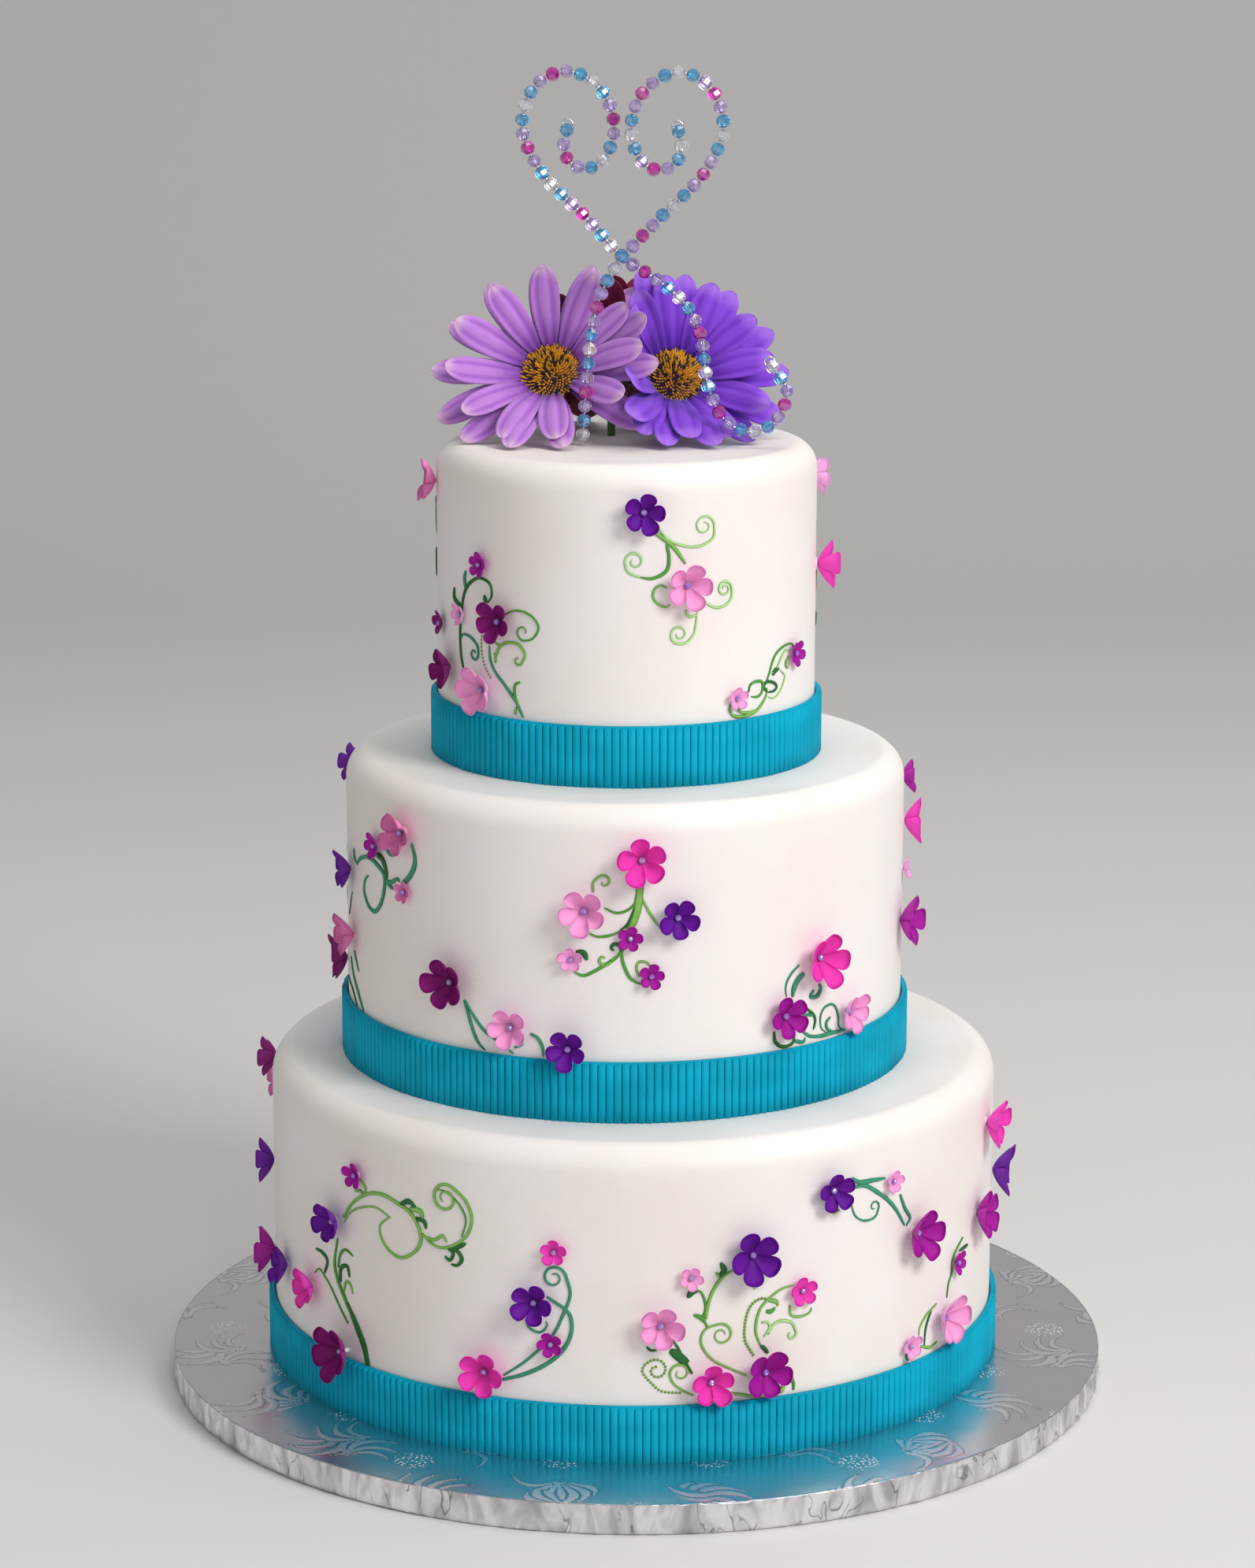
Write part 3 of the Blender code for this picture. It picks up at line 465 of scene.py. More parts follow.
class CakeSizes(bpy.types.PropertyGroup):
    """Sizes of what is laid on the cake."""

    petal_paste: length("Petal paste", "Thickness of a blossom's petal", 0.6 * MM)
    pearl_radius: length("Pearl radius", "Pearl of a large blossom", 1.45 * MM)
    rib_pitch: length("Rib pitch", "From one rib of the ribbon to the next", 3.3 * MM)
    vine_relief: length("Vine relief", "How far a vine stands off the wall", 0.45 * MM)
    dot_pitch: length("Dot pitch", "From one icing dot to the next", 1.5 * MM)
    silk: length("Silk", "Thickness of a daisy's petal", 0.35 * MM)
    florets: count("Florets", "Florets on a daisy's disc", 420)
    bead_radius: length("Bead radius", "Crystal bead on the wires", 3.0 * MM)
    wire_radius: length("Wire radius", "Silver wire through the beads", 0.45 * MM)
    emboss: length("Emboss", "Depth of the pattern in the foil", 0.2 * MM)
    key_power: bpy.props.FloatProperty(
        name="Key light", description="Power of the large lamp on the right", unit="POWER",
        min=0, default=44,
    )
    fill: share("Fill", "Brightness of the surroundings", 0.40)


# Shader and geometry expressions

class Value:
    """A socket that can be used in arithmetic: each operator adds a Math node."""

    def __init__(self, tree, socket):
        self.tree = tree
        self.socket = socket

    def math(self, operation, *items):
        node = self.tree.nodes.new("ShaderNodeMath")
        node.operation = operation
        for slot, item in zip(node.inputs, items):
            plug(self.tree, slot, item)
        return Value(self.tree, node.outputs[0])

    def __add__(self, other):
        return self.math("ADD", self, other)

    __radd__ = __add__

    def __mul__(self, other):
        return self.math("MULTIPLY", self, other)

    __rmul__ = __mul__

    def __sub__(self, other):
        return self.math("SUBTRACT", self, other)

    def __rsub__(self, other):
        return self.math("SUBTRACT", other, self)

    def __truediv__(self, other):
        return self.math("DIVIDE", self, other)

    def __pow__(self, other):
        return self.math("POWER", self, other)

    def __gt__(self, other):
        return self.math("GREATER_THAN", self, other)


def plug(tree, slot, item):
    """Links a value to a socket, or writes a plain number, colour or vector there."""
    if isinstance(item, Value):
        tree.links.new(item.socket, slot)
    elif hasattr(slot.default_value, "__len__") and len(slot.default_value) == 4:
        slot.default_value = (*item[:3], 1.0)
    else:
        slot.default_value = item


class Graph:
    """A node tree that is filled by short calls."""

    def __init__(self, tree):
        self.tree = tree

    def node(self, kind, settings=None, sockets=None, output=0):
        """Adds a node of any type: settings first, then its sockets, by name or number."""
        node = self.tree.nodes.new(kind)
        for name, value in (settings or {}).items():
            setattr(node, name, value)
        for name, item in (sockets or {}).items():
            plug(self.tree, node.inputs[name], item)
        return Value(self.tree, node.outputs[output])


class Finish(Graph):
    """A material of one Principled shader."""

    def __init__(self, name, **values):
        self.material = bpy.data.materials.new(name)
        self.material.use_nodes = True
        super().__init__(self.material.node_tree)
        self.shader = self.tree.nodes["Principled BSDF"]
        self.set(**values)

    def set(self, **values):
        names = {slot.name.lower(): slot.name for slot in self.shader.inputs}
        for name, item in values.items():
            plug(self.tree, self.shader.inputs[names[name.replace("_", " ").lower()]], item)

    def place(self):
        return self.node("ShaderNodeTexCoord", output="Object")

    def attribute(self, name, output="Fac"):
        return self.node("ShaderNodeAttribute", {"attribute_name": name}, output=output)

    def noise(self, scale, detail, vector=None, **sockets):
        sockets = {name.title(): item for name, item in sockets.items()}
        return self.node(
            "ShaderNodeTexNoise", sockets={
                "Vector": vector or self.place(), "Scale": scale, "Detail": detail, **sockets
            }
        )

    def stretch(self, scale):
        """Object coordinates drawn out by a different amount along each axis."""
        return self.node("ShaderNodeMapping", sockets={"Vector": self.place(), "Scale": scale})

    def band(self, value, low, high):
        """0 up to the low value and 1 from the high one, smooth between."""
        return self.node(
            "ShaderNodeMapRange", {"interpolation_type": "SMOOTHSTEP"},
            {"Value": value, "From Min": low, "From Max": high},
        )

    def mix(self, share_of_second, first, second):
        return self.node(
            "ShaderNodeMix", {"data_type": "RGBA"}, {0: share_of_second, 6: first, 7: second}, 2
        )

    def tint(self, colour_value, factor):
        """A colour made lighter or darker by a value."""
        return self.node(
            "ShaderNodeVectorMath", {"operation": "SCALE"}, {0: colour_value, "Scale": factor}
        )

    def relief(self, height, distance, strength):
        """Fine relief through a Bump node, its distance in metres."""
        self.set(Normal=self.node(
            "ShaderNodeBump", sockets={"Height": height, "Distance": distance, "Strength": strength}
        ))
        return self.material


class Maker(Graph):
    """A Geometry Nodes tree with named inputs for its sizes."""

    def __init__(self, name, sizes):
        tree = bpy.data.node_groups.new(name, "GeometryNodeTree")
        super().__init__(tree)
        tree.interface.new_socket("Geometry", in_out="INPUT", socket_type="NodeSocketGeometry")
        for label, value in sizes.items():
            kind = "NodeSocketInt" if isinstance(value, int) else "NodeSocketFloat"
            tree.interface.new_socket(label, in_out="INPUT", socket_type=kind)
        tree.interface.new_socket("Geometry", in_out="OUTPUT", socket_type="NodeSocketGeometry")
        self.inputs = tree.nodes.new("NodeGroupInput")
        self.sizes = sizes

    def size(self, label):
        return Value(self.tree, self.inputs.outputs[label])

    def points(self):
        return Value(self.tree, self.inputs.outputs["Geometry"])

    def stored(self, name, data_type="FLOAT"):
        return self.node(
            "GeometryNodeInputNamedAttribute", {"data_type": data_type}, {"Name": name}
        )

    def random(self, low, high, seed):
        sockets = {2: low, 3: high, "Seed": seed}
        return self.node("FunctionNodeRandomValue", {"data_type": "FLOAT"}, sockets, 1)

    def vector(self, x, y, z):
        return self.node("ShaderNodeCombineXYZ", sockets={0: x, 1: y, 2: z})

    def end(self, parts, material):
        """Joins the parts, makes their instances real and gives them the material."""
        join = self.tree.nodes.new("GeometryNodeJoinGeometry")
        for part in parts:
            self.tree.links.new(part.socket, join.inputs[0])
        real = self.node(
            "GeometryNodeRealizeInstances", sockets={"Geometry": Value(self.tree, join.outputs[0])}
        )
        last = self.node("GeometryNodeSetMaterial", sockets={"Geometry": real, "Material": material})
        output = self.tree.nodes.new("NodeGroupOutput")
        self.tree.links.new(last.socket, output.inputs[0])

    def run(self, obj):
        """Runs the tree on an object and keeps the result as its plain mesh."""
        modifier = obj.modifiers.new(self.tree.name, "NODES")
        modifier.node_group = self.tree
        for item in self.tree.interface.items_tree:
            if item.in_out == "INPUT" and item.name in self.sizes:
                modifier[item.identifier] = self.sizes[item.name]
        bpy.context.view_layer.update()
        graph = bpy.context.evaluated_depsgraph_get()
        mesh = bpy.data.meshes.new_from_object(obj.evaluated_get(graph))
        obj.modifiers.clear()
        obj.data = mesh


# Meshes

class Sheaf:
    """Points, faces and per-point values that grow into one mesh."""

    def __init__(self):
        self.points, self.faces, self.values = [], [], {}

    def add(self, points, faces, **values):
        start = len(self.points)
        self.points.extend(points)
        self.faces.extend(tuple(start + index for index in face) for face in faces)
        for name, items in values.items():
            self.values.setdefault(name, []).extend(items)

    def add_grain(self, spot, **values):
        """Adds a lone point that a maker puts a shape on, with the point's own values."""
        self.add([spot], [], **{name: [value] for name, value in values.items()})

    def build(self, name, material=None):
        mesh = bpy.data.meshes.new(name)
        mesh.from_pydata([tuple(point) for point in self.points], [], self.faces)
        for key, items in self.values.items():
            kind = "FLOAT_VECTOR" if hasattr(items[0], "__len__") else "FLOAT"
            attribute = mesh.attributes.new(key, kind, "POINT")
            field = "vector" if kind == "FLOAT_VECTOR" else "value"
            attribute.data.foreach_set(field, np.array(items, np.float32).ravel())
        if material:
            mesh.materials.append(material)
        mesh.update()
        if self.faces:
            mesh.shade_smooth()
        obj = bpy.data.objects.new(name, mesh)
        bpy.context.scene.collection.objects.link(obj)
        return obj


def dress(obj, *nodes, slot=None):
    """Says what a finished piece rides on and stands for. Its slot is not used."""
    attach(obj, "root")
    if nodes:
        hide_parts(*nodes)


def grow(sheaf, name, maker, *nodes, slot=None):
    """Runs a maker on a sheaf's mesh and dresses the result as one piece."""
    piece = sheaf.build(name)
    maker.run(piece)
    dress(piece, *nodes, slot=slot)


def wall_of(tier):
    low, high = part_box(f"ribbon_{tier}")
    radius = (high.x - low.x) / 2 - RIBBON_THICKNESS - GAP
    return Wall(radius, (high.x + low.x) / 2, low.z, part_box(f"tier_{tier}")[1].z, high.z - low.z)


def on_wall(wall, angle, up, out):
    """A point on a tier's wall: radians round from the front, the way up from its foot, which
    goes on over the shoulder, and how far off the wall."""
    straight = wall.top - SHOULDER - wall.foot
    bend = max(0.0, up - straight) / SHOULDER
    reach = wall.radius - SHOULDER + (SHOULDER + out) * math.cos(bend)
    rise = min(up, straight) + (SHOULDER + out) * math.sin(bend)
    return Vector((wall.centre + reach * math.sin(angle), -reach * math.cos(angle), wall.foot + rise))


def facing(wall, degrees, up, out, tip):
    """Frame of a thing stuck to a wall: X level, Y up, Z outwards, tipped a little."""
    angle = math.radians(degrees)
    return (
        Matrix.Translation(on_wall(wall, angle, up, out))
        @ Matrix.Rotation(angle, 4, "Z")
        @ Matrix.Rotation(math.pi / 2, 4, "X")
        @ Matrix.Rotation(tip[0], 4, "X")
        @ Matrix.Rotation(tip[1], 4, "Y")
    )


def smooth_path(knots, steps):
    """Points along a Catmull-Rom curve through the knots, so many from each to the next."""
    knots = [Vector(knot) for knot in knots]
    ends = [2 * knots[0] - knots[1], *knots, 2 * knots[-1] - knots[-2]]
    path = []
    for a, b, c, d in zip(ends, ends[1:], ends[2:], ends[3:]):
        for step in range(steps):
            t = step / steps
            path.append(0.5 * (
                2 * b + (c - a) * t + (2 * a - 5 * b + 4 * c - d) * t**2
                + (3 * b - a - 3 * c + d) * t**3
            ))
    return [*path, knots[-1]]


def spaced(path, spacing):
    """Points at equal steps along a path, as near to the spacing as fits a whole number."""
    lengths = [0.0]
    for a, b in zip(path, path[1:]):
        lengths.append(lengths[-1] + (b - a).length)
    steps = max(1, round(lengths[-1] / spacing))
    points, index = [], 0
    for number in range(steps + 1):
        at = lengths[-1] * number / steps
        while index < len(path) - 2 and lengths[index + 1] < at:
            index += 1
        span = lengths[index + 1] - lengths[index]
        points.append(path[index].lerp(path[index + 1], (at - lengths[index]) / span))
    return points


def grid_faces(rows, columns, closed=False):
    """Faces between rows of points, each row joined to its start where it is closed."""
    faces = []
    for row in range(rows - 1):
        for column in range(columns if closed else columns - 1):
            other = (column + 1) % columns
            a, b = row * columns + column, row * columns + other
            faces.append((a, b, b + columns, a + columns))
    return faces


def turned(profile, segments, centre, bend=None):
    """A closed turned shape about Z from (radius, height) points that run from top to bottom. The
    bend changes a point's radius and height by where it is."""
    points = [Vector((centre, 0.0, profile[0][1]))]
    for radius, height in profile[1:-1]:
        for step in range(segments):
            angle = 2 * math.pi * step / segments
            r, z = bend(radius, height, angle) if bend else (radius, height)
            points.append(Vector((centre + r * math.sin(angle), -r * math.cos(angle), z)))
    points.append(Vector((centre, 0.0, profile[-1][1])))
    rows = len(profile) - 2
    faces = [(0, 1 + step, 1 + (step + 1) % segments) for step in range(segments)]
    for a, b, c, d in grid_faces(rows, segments, closed=True):
        faces.append((a + 1, d + 1, c + 1, b + 1))
    last, start = len(points) - 1, len(points) - 1 - segments
    faces += [(last, start + (step + 1) % segments, start + step) for step in range(segments)]
    return points, faces


# Materials

# Florets above this chance are dark
DARK_CHANCE = 0.86


def toned(base, *factors, lift=0.0):
    """A colour times one factor, or times one for each channel, and lifted a little."""
    factors = factors * 3 if len(factors) == 1 else factors
    return tuple(min(1.0, part * factor + lift) for part, factor in zip(base, factors))


def covering_finish(colours):
    made = Finish(
        "covering", Subsurface_Weight=0.12, Subsurface_Scale=0.004,
        Subsurface_Radius=(1.0, 0.7, 0.5),
    )
    cloud = made.noise(14.0, 4.0)
    grain = made.noise(900.0, 2.0)
    smear = made.noise(60.0, 3.0, vector=made.stretch((1.0, 1.0, 2.5)))
    warm = toned(colours.covering, 0.97, 0.95, 0.90)
    made.set(Base_Color=made.mix(made.band(cloud, 0.35, 0.7), colours.covering, warm))
    made.set(Roughness=0.46 + 0.14 * smear)
    return made.relief(smear * 0.6 + grain * 0.25, 0.35 * MM, 0.6)


def ribbon_finish(colours):
    made = Finish("ribbon paste", Specular_Ior_Level=0.1)
    cloud = made.noise(40.0, 4.0)
    grain = made.noise(1100.0, 2.0)
    pale = toned(colours.ribbon, 0.85, lift=0.02)
    dark = toned(colours.ribbon, 0.82)
    body = made.mix(made.band(cloud, 0.35, 0.65), dark, colours.ribbon)
    dusty = made.band(grain, 0.58, 0.78) * 0.15
    made.set(Base_Color=made.mix(dusty, body, pale), Roughness=0.52 + 0.18 * grain)
    return made.relief(grain + cloud * 0.5, 0.25 * MM, 0.6)


def petal_finish(name, base):
    """Sugar paste with painted shade towards the middle of the cup, darker along a thin edge, paler outside
    as painted light.
    """
    made = Finish(
        f"{name} paste", Subsurface_Weight=0.1, Subsurface_Scale=0.002,
        Subsurface_Radius=(1.0, 0.4, 0.8), Specular_Ior_Level=0.25,
    )
    reach = made.attribute("reach")
    outside = made.attribute("outside")
    mottle = made.noise(350.0, 3.0)
    deep = toned(base, 0.62)
    # Painted light: the outside of the petals is paler
    light = toned(base, 1.4, lift=0.03)
    # Painted shade: the colour darkens to the deep tone towards the middle of the cup
    cup = made.mix(made.band(reach + 0.2 * mottle, 0.05, 0.7), deep, base)
    rim = made.mix(made.band(reach, 0.94, 1.0) * 0.5, cup, deep)
    both = made.mix(outside * 0.7, rim, light)
    made.set(Base_Color=both, Roughness=0.55 + 0.2 * mottle)
    return made.relief(made.noise(1200.0, 2.0) + mottle * 0.5, 0.15 * MM, 0.5)


def pearl_finish(colours):
    made = Finish("pearl", Metallic=0.35, Roughness=0.18, Coat_Weight=0.8, Coat_Roughness=0.08)
    sheen = made.noise(500.0, 1.0)
    blue = toned(colours.pearl, 0.5, lift=0.25)
    made.set(Base_Color=made.mix(made.band(sheen, 0.4, 0.6), colours.pearl, blue))
    return made.material


def icing_finish():
    made = Finish("royal icing", Roughness=0.4, Base_Color=(0.88, 0.86, 0.82))
    return made.relief(made.noise(700.0, 3.0), 0.2 * MM, 0.5)


def vine_finish(name):
    """Painted sugar: the stroke's own colour, darker along its edges, with brush streaks."""
    made = Finish(name, Specular_Ior_Level=0.4)
    paint = made.attribute("paint", "Vector")
    edge = made.attribute("edge")
    streak = made.noise(420.0, 4.0)
    rim = made.node(
        "ShaderNodeVectorMath", {"operation": "MULTIPLY"}, {0: paint, 1: (0.34, 0.60, 0.38)}
    )
    body = made.mix(made.band(edge, 0.3, 0.95), paint, rim)
    made.set(Base_Color=made.tint(body, 0.75 + 0.6 * streak), Roughness=0.42 + 0.25 * streak)
    return made.relief(streak, 0.12 * MM, 0.5)


def silk_finish(name, base, tip, tip_start):
    """Creased silk: painted shade in its folds and at its root, a fine weave, tips of another colour."""
    made = Finish(f"{name} silk", Sheen_Weight=0.35, Sheen_Roughness=0.4, Specular_Ior_Level=0.25)
    along = made.attribute("along")
    fold = made.attribute("fold")
    cloud = made.noise(220.0, 3.0)
    # Painted shade: the darker colour in the folds of each petal
    dark = toned(base, 0.68, 0.52, 0.80)
    # Painted shade: the darkest colour, towards each petal's root by the disc
    root = toned(base, 0.34, 0.14, 0.54)
    creased = made.mix(made.band(fold + 0.3 * cloud, 0.0, 0.7), dark, base)
    body = made.mix(made.band(along + 0.2 * cloud, 0.0, 0.62), root, creased)
    pale = made.band(along + 0.12 * cloud, tip_start, tip_start + 0.22)
    made.set(Base_Color=made.mix(pale, body, tip), Roughness=0.7 + 0.15 * cloud)
    return made.relief(made.noise(2600.0, 1.0), 0.08 * MM, 0.5)


def floret_finish(colours):
    """Fuzzy golden florets, some dark violet, on a core painted dark as the shade between them."""
    made = Finish("florets", Roughness=0.85, Sheen_Weight=0.1)
    chance = made.attribute("chance")
    gold = made.mix(chance, toned(colours.disc, 0.6), colours.disc)
    # The core's chance is highest, so it takes the dark colour too, as painted shade between the florets
    made.set(Base_Color=made.mix(chance > DARK_CHANCE, gold, (0.03, 0.004, 0.03)))
    return made.material


def bead_finish():
    """Faceted glass in four tints, chosen bead by bead."""
    made = Finish(
        "crystal", Roughness=0.02, Ior=1.55, Transmission_Weight=0.85, Coat_Weight=1.0,
        Coat_Roughness=0.02, Coat_Ior=1.8,
    )
    tints = made.node(
        "ShaderNodeValToRGB", sockets={"Fac": (made.attribute("tint") + 0.5) / 4.0}
    )
    ramp = tints.socket.node.color_ramp
    ramp.interpolation = "CONSTANT"
    stops = [
        (0.0, (0.93, 0.92, 0.95)), (0.25, (0.10, 0.50, 0.86)), (0.5, (0.62, 0.48, 0.86)),
        (0.75, (0.74, 0.0, 0.46)),
    ]
    while len(ramp.elements) < len(stops):
        ramp.elements.new(1.0)
    for element, (position, tone) in zip(ramp.elements, stops):
        element.position = position
        element.color = (*tone, 1.0)
    made.set(Base_Color=tints)
    return made.material


def wire_finish():
    made = Finish("silver wire", Base_Color=(0.75, 0.75, 0.77), Metallic=1.0)
    made.set(Roughness=0.18 + 0.12 * made.noise(600.0, 2.0))
    return made.material


def foil_finish():
    """Silver foil: a mirror with satin leaves, painted shade along their outlines, and patches of
    berries. Round the side it is crumpled into facets of painted light and shade, with thin
    creases of painted shade."""
    made = Finish("foil", Metallic=1.0)
    leaf, patch, side = (made.attribute(name) for name in ("leaf", "patch", "side"))
    crease = made.noise(90.0, 3.0)
    fine = made.noise(1300.0, 2.0)
    cells = made.node(
        "ShaderNodeTexVoronoi",
        sockets={"Vector": made.place(), "Scale": 1 / BERRY_PITCH, "Randomness": 0.8},
    )
    berry = (1 - made.band(cells, 0.22, 0.36)) * made.band(patch, 0.0, 0.25)
    satin = made.band(leaf, 0.25, 0.6)
    # Painted shade: a darker band along each leaf's outline, where the emboss slopes
    outline_shade = made.band(leaf, 0.0, 0.15) * (1 - satin)
    ground = made.mix(outline_shade, (0.74, 0.74, 0.76), (0.45, 0.45, 0.48))
    top = made.mix(satin * 0.35 + berry * 0.9, ground, (0.96, 0.96, 0.97))
    drawn = made.stretch(CREASE_SCALE)
    facet = made.node("ShaderNodeTexVoronoi", sockets={"Vector": drawn, "Scale": 1.0})
    streak = made.noise(1.0, 5.0, vector=drawn, distortion=1.5)
    # Painted shade: thin dark lines standing for creases round the side
    line = made.noise(1.0, 2.0, vector=made.stretch(FOLD_SCALE), distortion=1.2) - 0.5
    thin = 1 - made.band(line.math("ABSOLUTE", line), 0.0, 0.02)
    dark = thin * made.band(made.noise(45.0, 2.0), 0.42, 0.56)
    # Painted light and shade: facets of the side made lighter or darker
    tone = made.band(streak + 0.3 * facet, 0.35, 0.85)
    facet_light_and_shade = made.mix(tone, (0.44, 0.43, 0.45), (0.86, 0.85, 0.87))
    crumpled = made.mix(dark * 0.8, facet_light_and_shade, (0.16, 0.16, 0.17))
    made.set(Base_Color=made.mix(side, top, crumpled))
    made.set(Roughness=0.22 + 0.12 * satin + 0.35 * berry + 0.08 * crease + 0.1 * side)
    height = crease * 0.5 + satin * fine + 3 * berry
    return made.relief(height + side * (6 * facet + 8 * streak), 0.12 * MM, 0.6)


# Geometry Nodes trees

# How far a ribbon's ribs reach below its node's foot, to stand on what is under them
FOOT_REACH = 0.7 * MM
# A rib's section is round at 1 and squarer below
RIB_SQUARENESS = 0.76
# Shares of its pitch and of the ribbon's height that a rib fills
RIB_WIDE, RIB_TALL = 0.965, 0.985
# The flat band under the ribs: how far out its middle is and how thick it is, as shares of the
# ribbon's thickness, and its height as a share of the ribbon's
BAND_MIDDLE, BAND_THICK, BAND_TALL = 0.28, 0.55, 0.996
# Florets: radius, power of the curve of the dome they stand on, how much likelier a dark one is
# in its middle, and how far below the disc the point is that they lean away from
FLORET_RADIUS = 0.62 * MM
DOME_POWER = 2.4
DARKER_MIDDLE = 0.3
SPLAY_DEPTH = 8 * MM


def grain_maker(name, material, segments, rings, smooth):
    """One ball on each point, of the point's own size, flatness and direction."""
    made = Maker(name, {"Segments": segments, "Rings": rings})
    ball = made.node(
        "GeometryNodeMeshUVSphere",
        sockets={"Segments": made.size("Segments"), "Rings": made.size("Rings"), "Radius": 1.0},
    )
    shaded = made.node(
        "GeometryNodeSetShadeSmooth", sockets={"Geometry": ball, "Shade Smooth": smooth}
    )
    turn = made.node(
        "FunctionNodeAlignRotationToVector", {"axis": "Z"},
        {"Vector": made.stored("facing", "FLOAT_VECTOR")},
    )
    size = made.stored("size")
    balls = made.node("GeometryNodeInstanceOnPoints", sockets={
        "Points": made.points(), "Instance": shaded, "Rotation": turn,
        "Scale": made.vector(size, size, size * made.stored("flatness")),
    })
    made.end([balls], material)
    return made


def rib_maker(wall, sizes, material):
    """A band round the tier's foot with rounded upright ribs, a little uneven."""
    outer = wall.radius + GAP + RIBBON_THICKNESS
    ribs = round(2 * math.pi * outer / sizes.rib_pitch)
    made = Maker("ribbon ribs", {
        "Ribs": ribs, "Radius": wall.radius + GAP, "Height": wall.ribbon,
        "Thickness": RIBBON_THICKNESS, "Foot": FOOT_REACH, "Seed": 4,
    })
    height, thickness, foot = made.size("Height"), made.size("Thickness"), made.size("Foot")
    band_radius = made.size("Radius") + thickness * BAND_MIDDLE
    half_pitch = math.pi * outer / ribs
    ring = made.node(
        "GeometryNodeMeshCircle",
        sockets={"Vertices": made.size("Ribs"), "Radius": made.size("Radius") + thickness * 0.5},
    )
    rod = made.node(
        "GeometryNodeMeshCylinder", {"fill_type": "TRIANGLE_FAN"},
        {"Vertices": 16, "Side Segments": 3, "Radius": 1.0, "Depth": 1.0},
    )
    x, y, z = (
        made.node(
            "ShaderNodeSeparateXYZ", sockets={0: made.node("GeometryNodeInputPosition")}, output=axis
        )
        for axis in range(3)
    )
    squared = [v.math("SIGN", v) * v.math("ABSOLUTE", v) ** RIB_SQUARENESS for v in (x, y)]
    rib = made.node(
        "GeometryNodeSetPosition", sockets={"Geometry": rod, "Position": made.vector(*squared, z)}
    )
    shaped = made.node("GeometryNodeTransform", sockets={
        "Geometry": rib,
        "Scale": made.vector(thickness * 0.5, RIB_WIDE * half_pitch, height * RIB_TALL + foot),
        "Translation": made.vector(0.0, 0.0, (height * RIB_TALL - foot) * 0.5),
    })
    wide = made.random(0.84, 1.0, made.size("Seed"))
    tall = made.random(0.975, 1.0, made.size("Seed") + 1)
    turn = made.node(
        "FunctionNodeAlignRotationToVector", {"axis": "X"},
        {"Vector": made.node("GeometryNodeInputPosition")},
    )
    placed = made.node("GeometryNodeInstanceOnPoints", sockets={
        "Points": ring, "Instance": shaped, "Rotation": turn, "Scale": made.vector(wide, 1.0, tall),
    })
    loop = made.node(
        "GeometryNodeCurvePrimitiveCircle", sockets={"Resolution": ribs, "Radius": band_radius}
    )
    section = made.node(
        "GeometryNodeCurvePrimitiveQuadrilateral",
        sockets={"Width": thickness * BAND_THICK, "Height": height * BAND_TALL},
    )
    band = made.node(
        "GeometryNodeCurveToMesh", sockets={"Curve": loop, "Profile Curve": section}
    )
    raised = made.node(
        "GeometryNodeTransform",
        sockets={"Geometry": band, "Translation": made.vector(0.0, 0.0, height * 0.5)},
    )
    smooth = made.node(
        "GeometryNodeSetShadeSmooth", sockets={"Geometry": placed, "Shade Smooth": True}
    )
    whole = made.tree.nodes.new("GeometryNodeJoinGeometry")
    for part in (smooth, raised):
        made.tree.links.new(part.socket, whole.inputs[0])
    stood = made.node("GeometryNodeTransform", sockets={
        "Geometry": Value(made.tree, whole.outputs[0]),
        "Translation": (wall.centre, 0.0, wall.foot),
    })
    made.end([stood], material)
    return made


def floret_maker(florets, frame_of_head, material):
    """Small cones in a sunflower spiral over a domed disc, more of them dark near its middle."""
    made = Maker("disc florets", {
        "Florets": florets, "Radius": 0.97 * DISC_RADIUS, "Height": DISC_HEIGHT,
        "Floret": FLORET_RADIUS, "Seed": 7,
    })
    number = made.node("GeometryNodeInputIndex")
    golden_turn = math.pi * (3 - math.sqrt(5))
    part = ((number + 0.5) / made.size("Florets")) ** 0.5
    angle = number * golden_turn
    level = 1 - part ** DOME_POWER
    spot = made.vector(
        part * made.size("Radius") * angle.math("COSINE", angle),
        part * made.size("Radius") * angle.math("SINE", angle),
        level * made.size("Height"),
    )
    cloud = made.node("GeometryNodePoints", sockets={
        "Count": made.size("Florets"), "Position": spot,
    })
    cone = made.node(
        "GeometryNodeMeshCone", {"fill_type": "TRIANGLE_FAN"},
        {"Vertices": 6, "Radius Top": 0.35, "Radius Bottom": 1.0, "Depth": 3.2},
    )
    chance = made.random(0.0, 1.0, made.size("Seed")) + DARKER_MIDDLE * (1 - part)
    marked = made.node(
        "GeometryNodeStoreNamedAttribute", {"data_type": "FLOAT", "domain": "POINT"},
        {"Geometry": cloud, "Name": "chance", "Value": chance},
    )
    spread = made.node("FunctionNodeAlignRotationToVector", {"axis": "Z"}, {
        "Vector": made.node(
            "ShaderNodeVectorMath", {"operation": "ADD"},
            {0: made.node("GeometryNodeInputPosition"), 1: (0.0, 0.0, SPLAY_DEPTH)},
        ),
    })
    size = made.size("Floret") * made.random(0.7, 1.25, made.size("Seed") + 1)
    tall = made.size("Floret") * made.random(0.6, 1.4, made.size("Seed") + 2)
    placed = made.node("GeometryNodeInstanceOnPoints", sockets={
        "Points": marked, "Instance": cone, "Rotation": spread,
        "Scale": made.vector(size, size, tall),
    })
    place, turn, _ = frame_of_head.decompose()
    stood = made.node("GeometryNodeTransform", sockets={
        "Geometry": placed, "Translation": tuple(place), "Rotation": turn.to_euler(),
    })
    made.end([made.points(), stood], material)
    return made


# Pieces

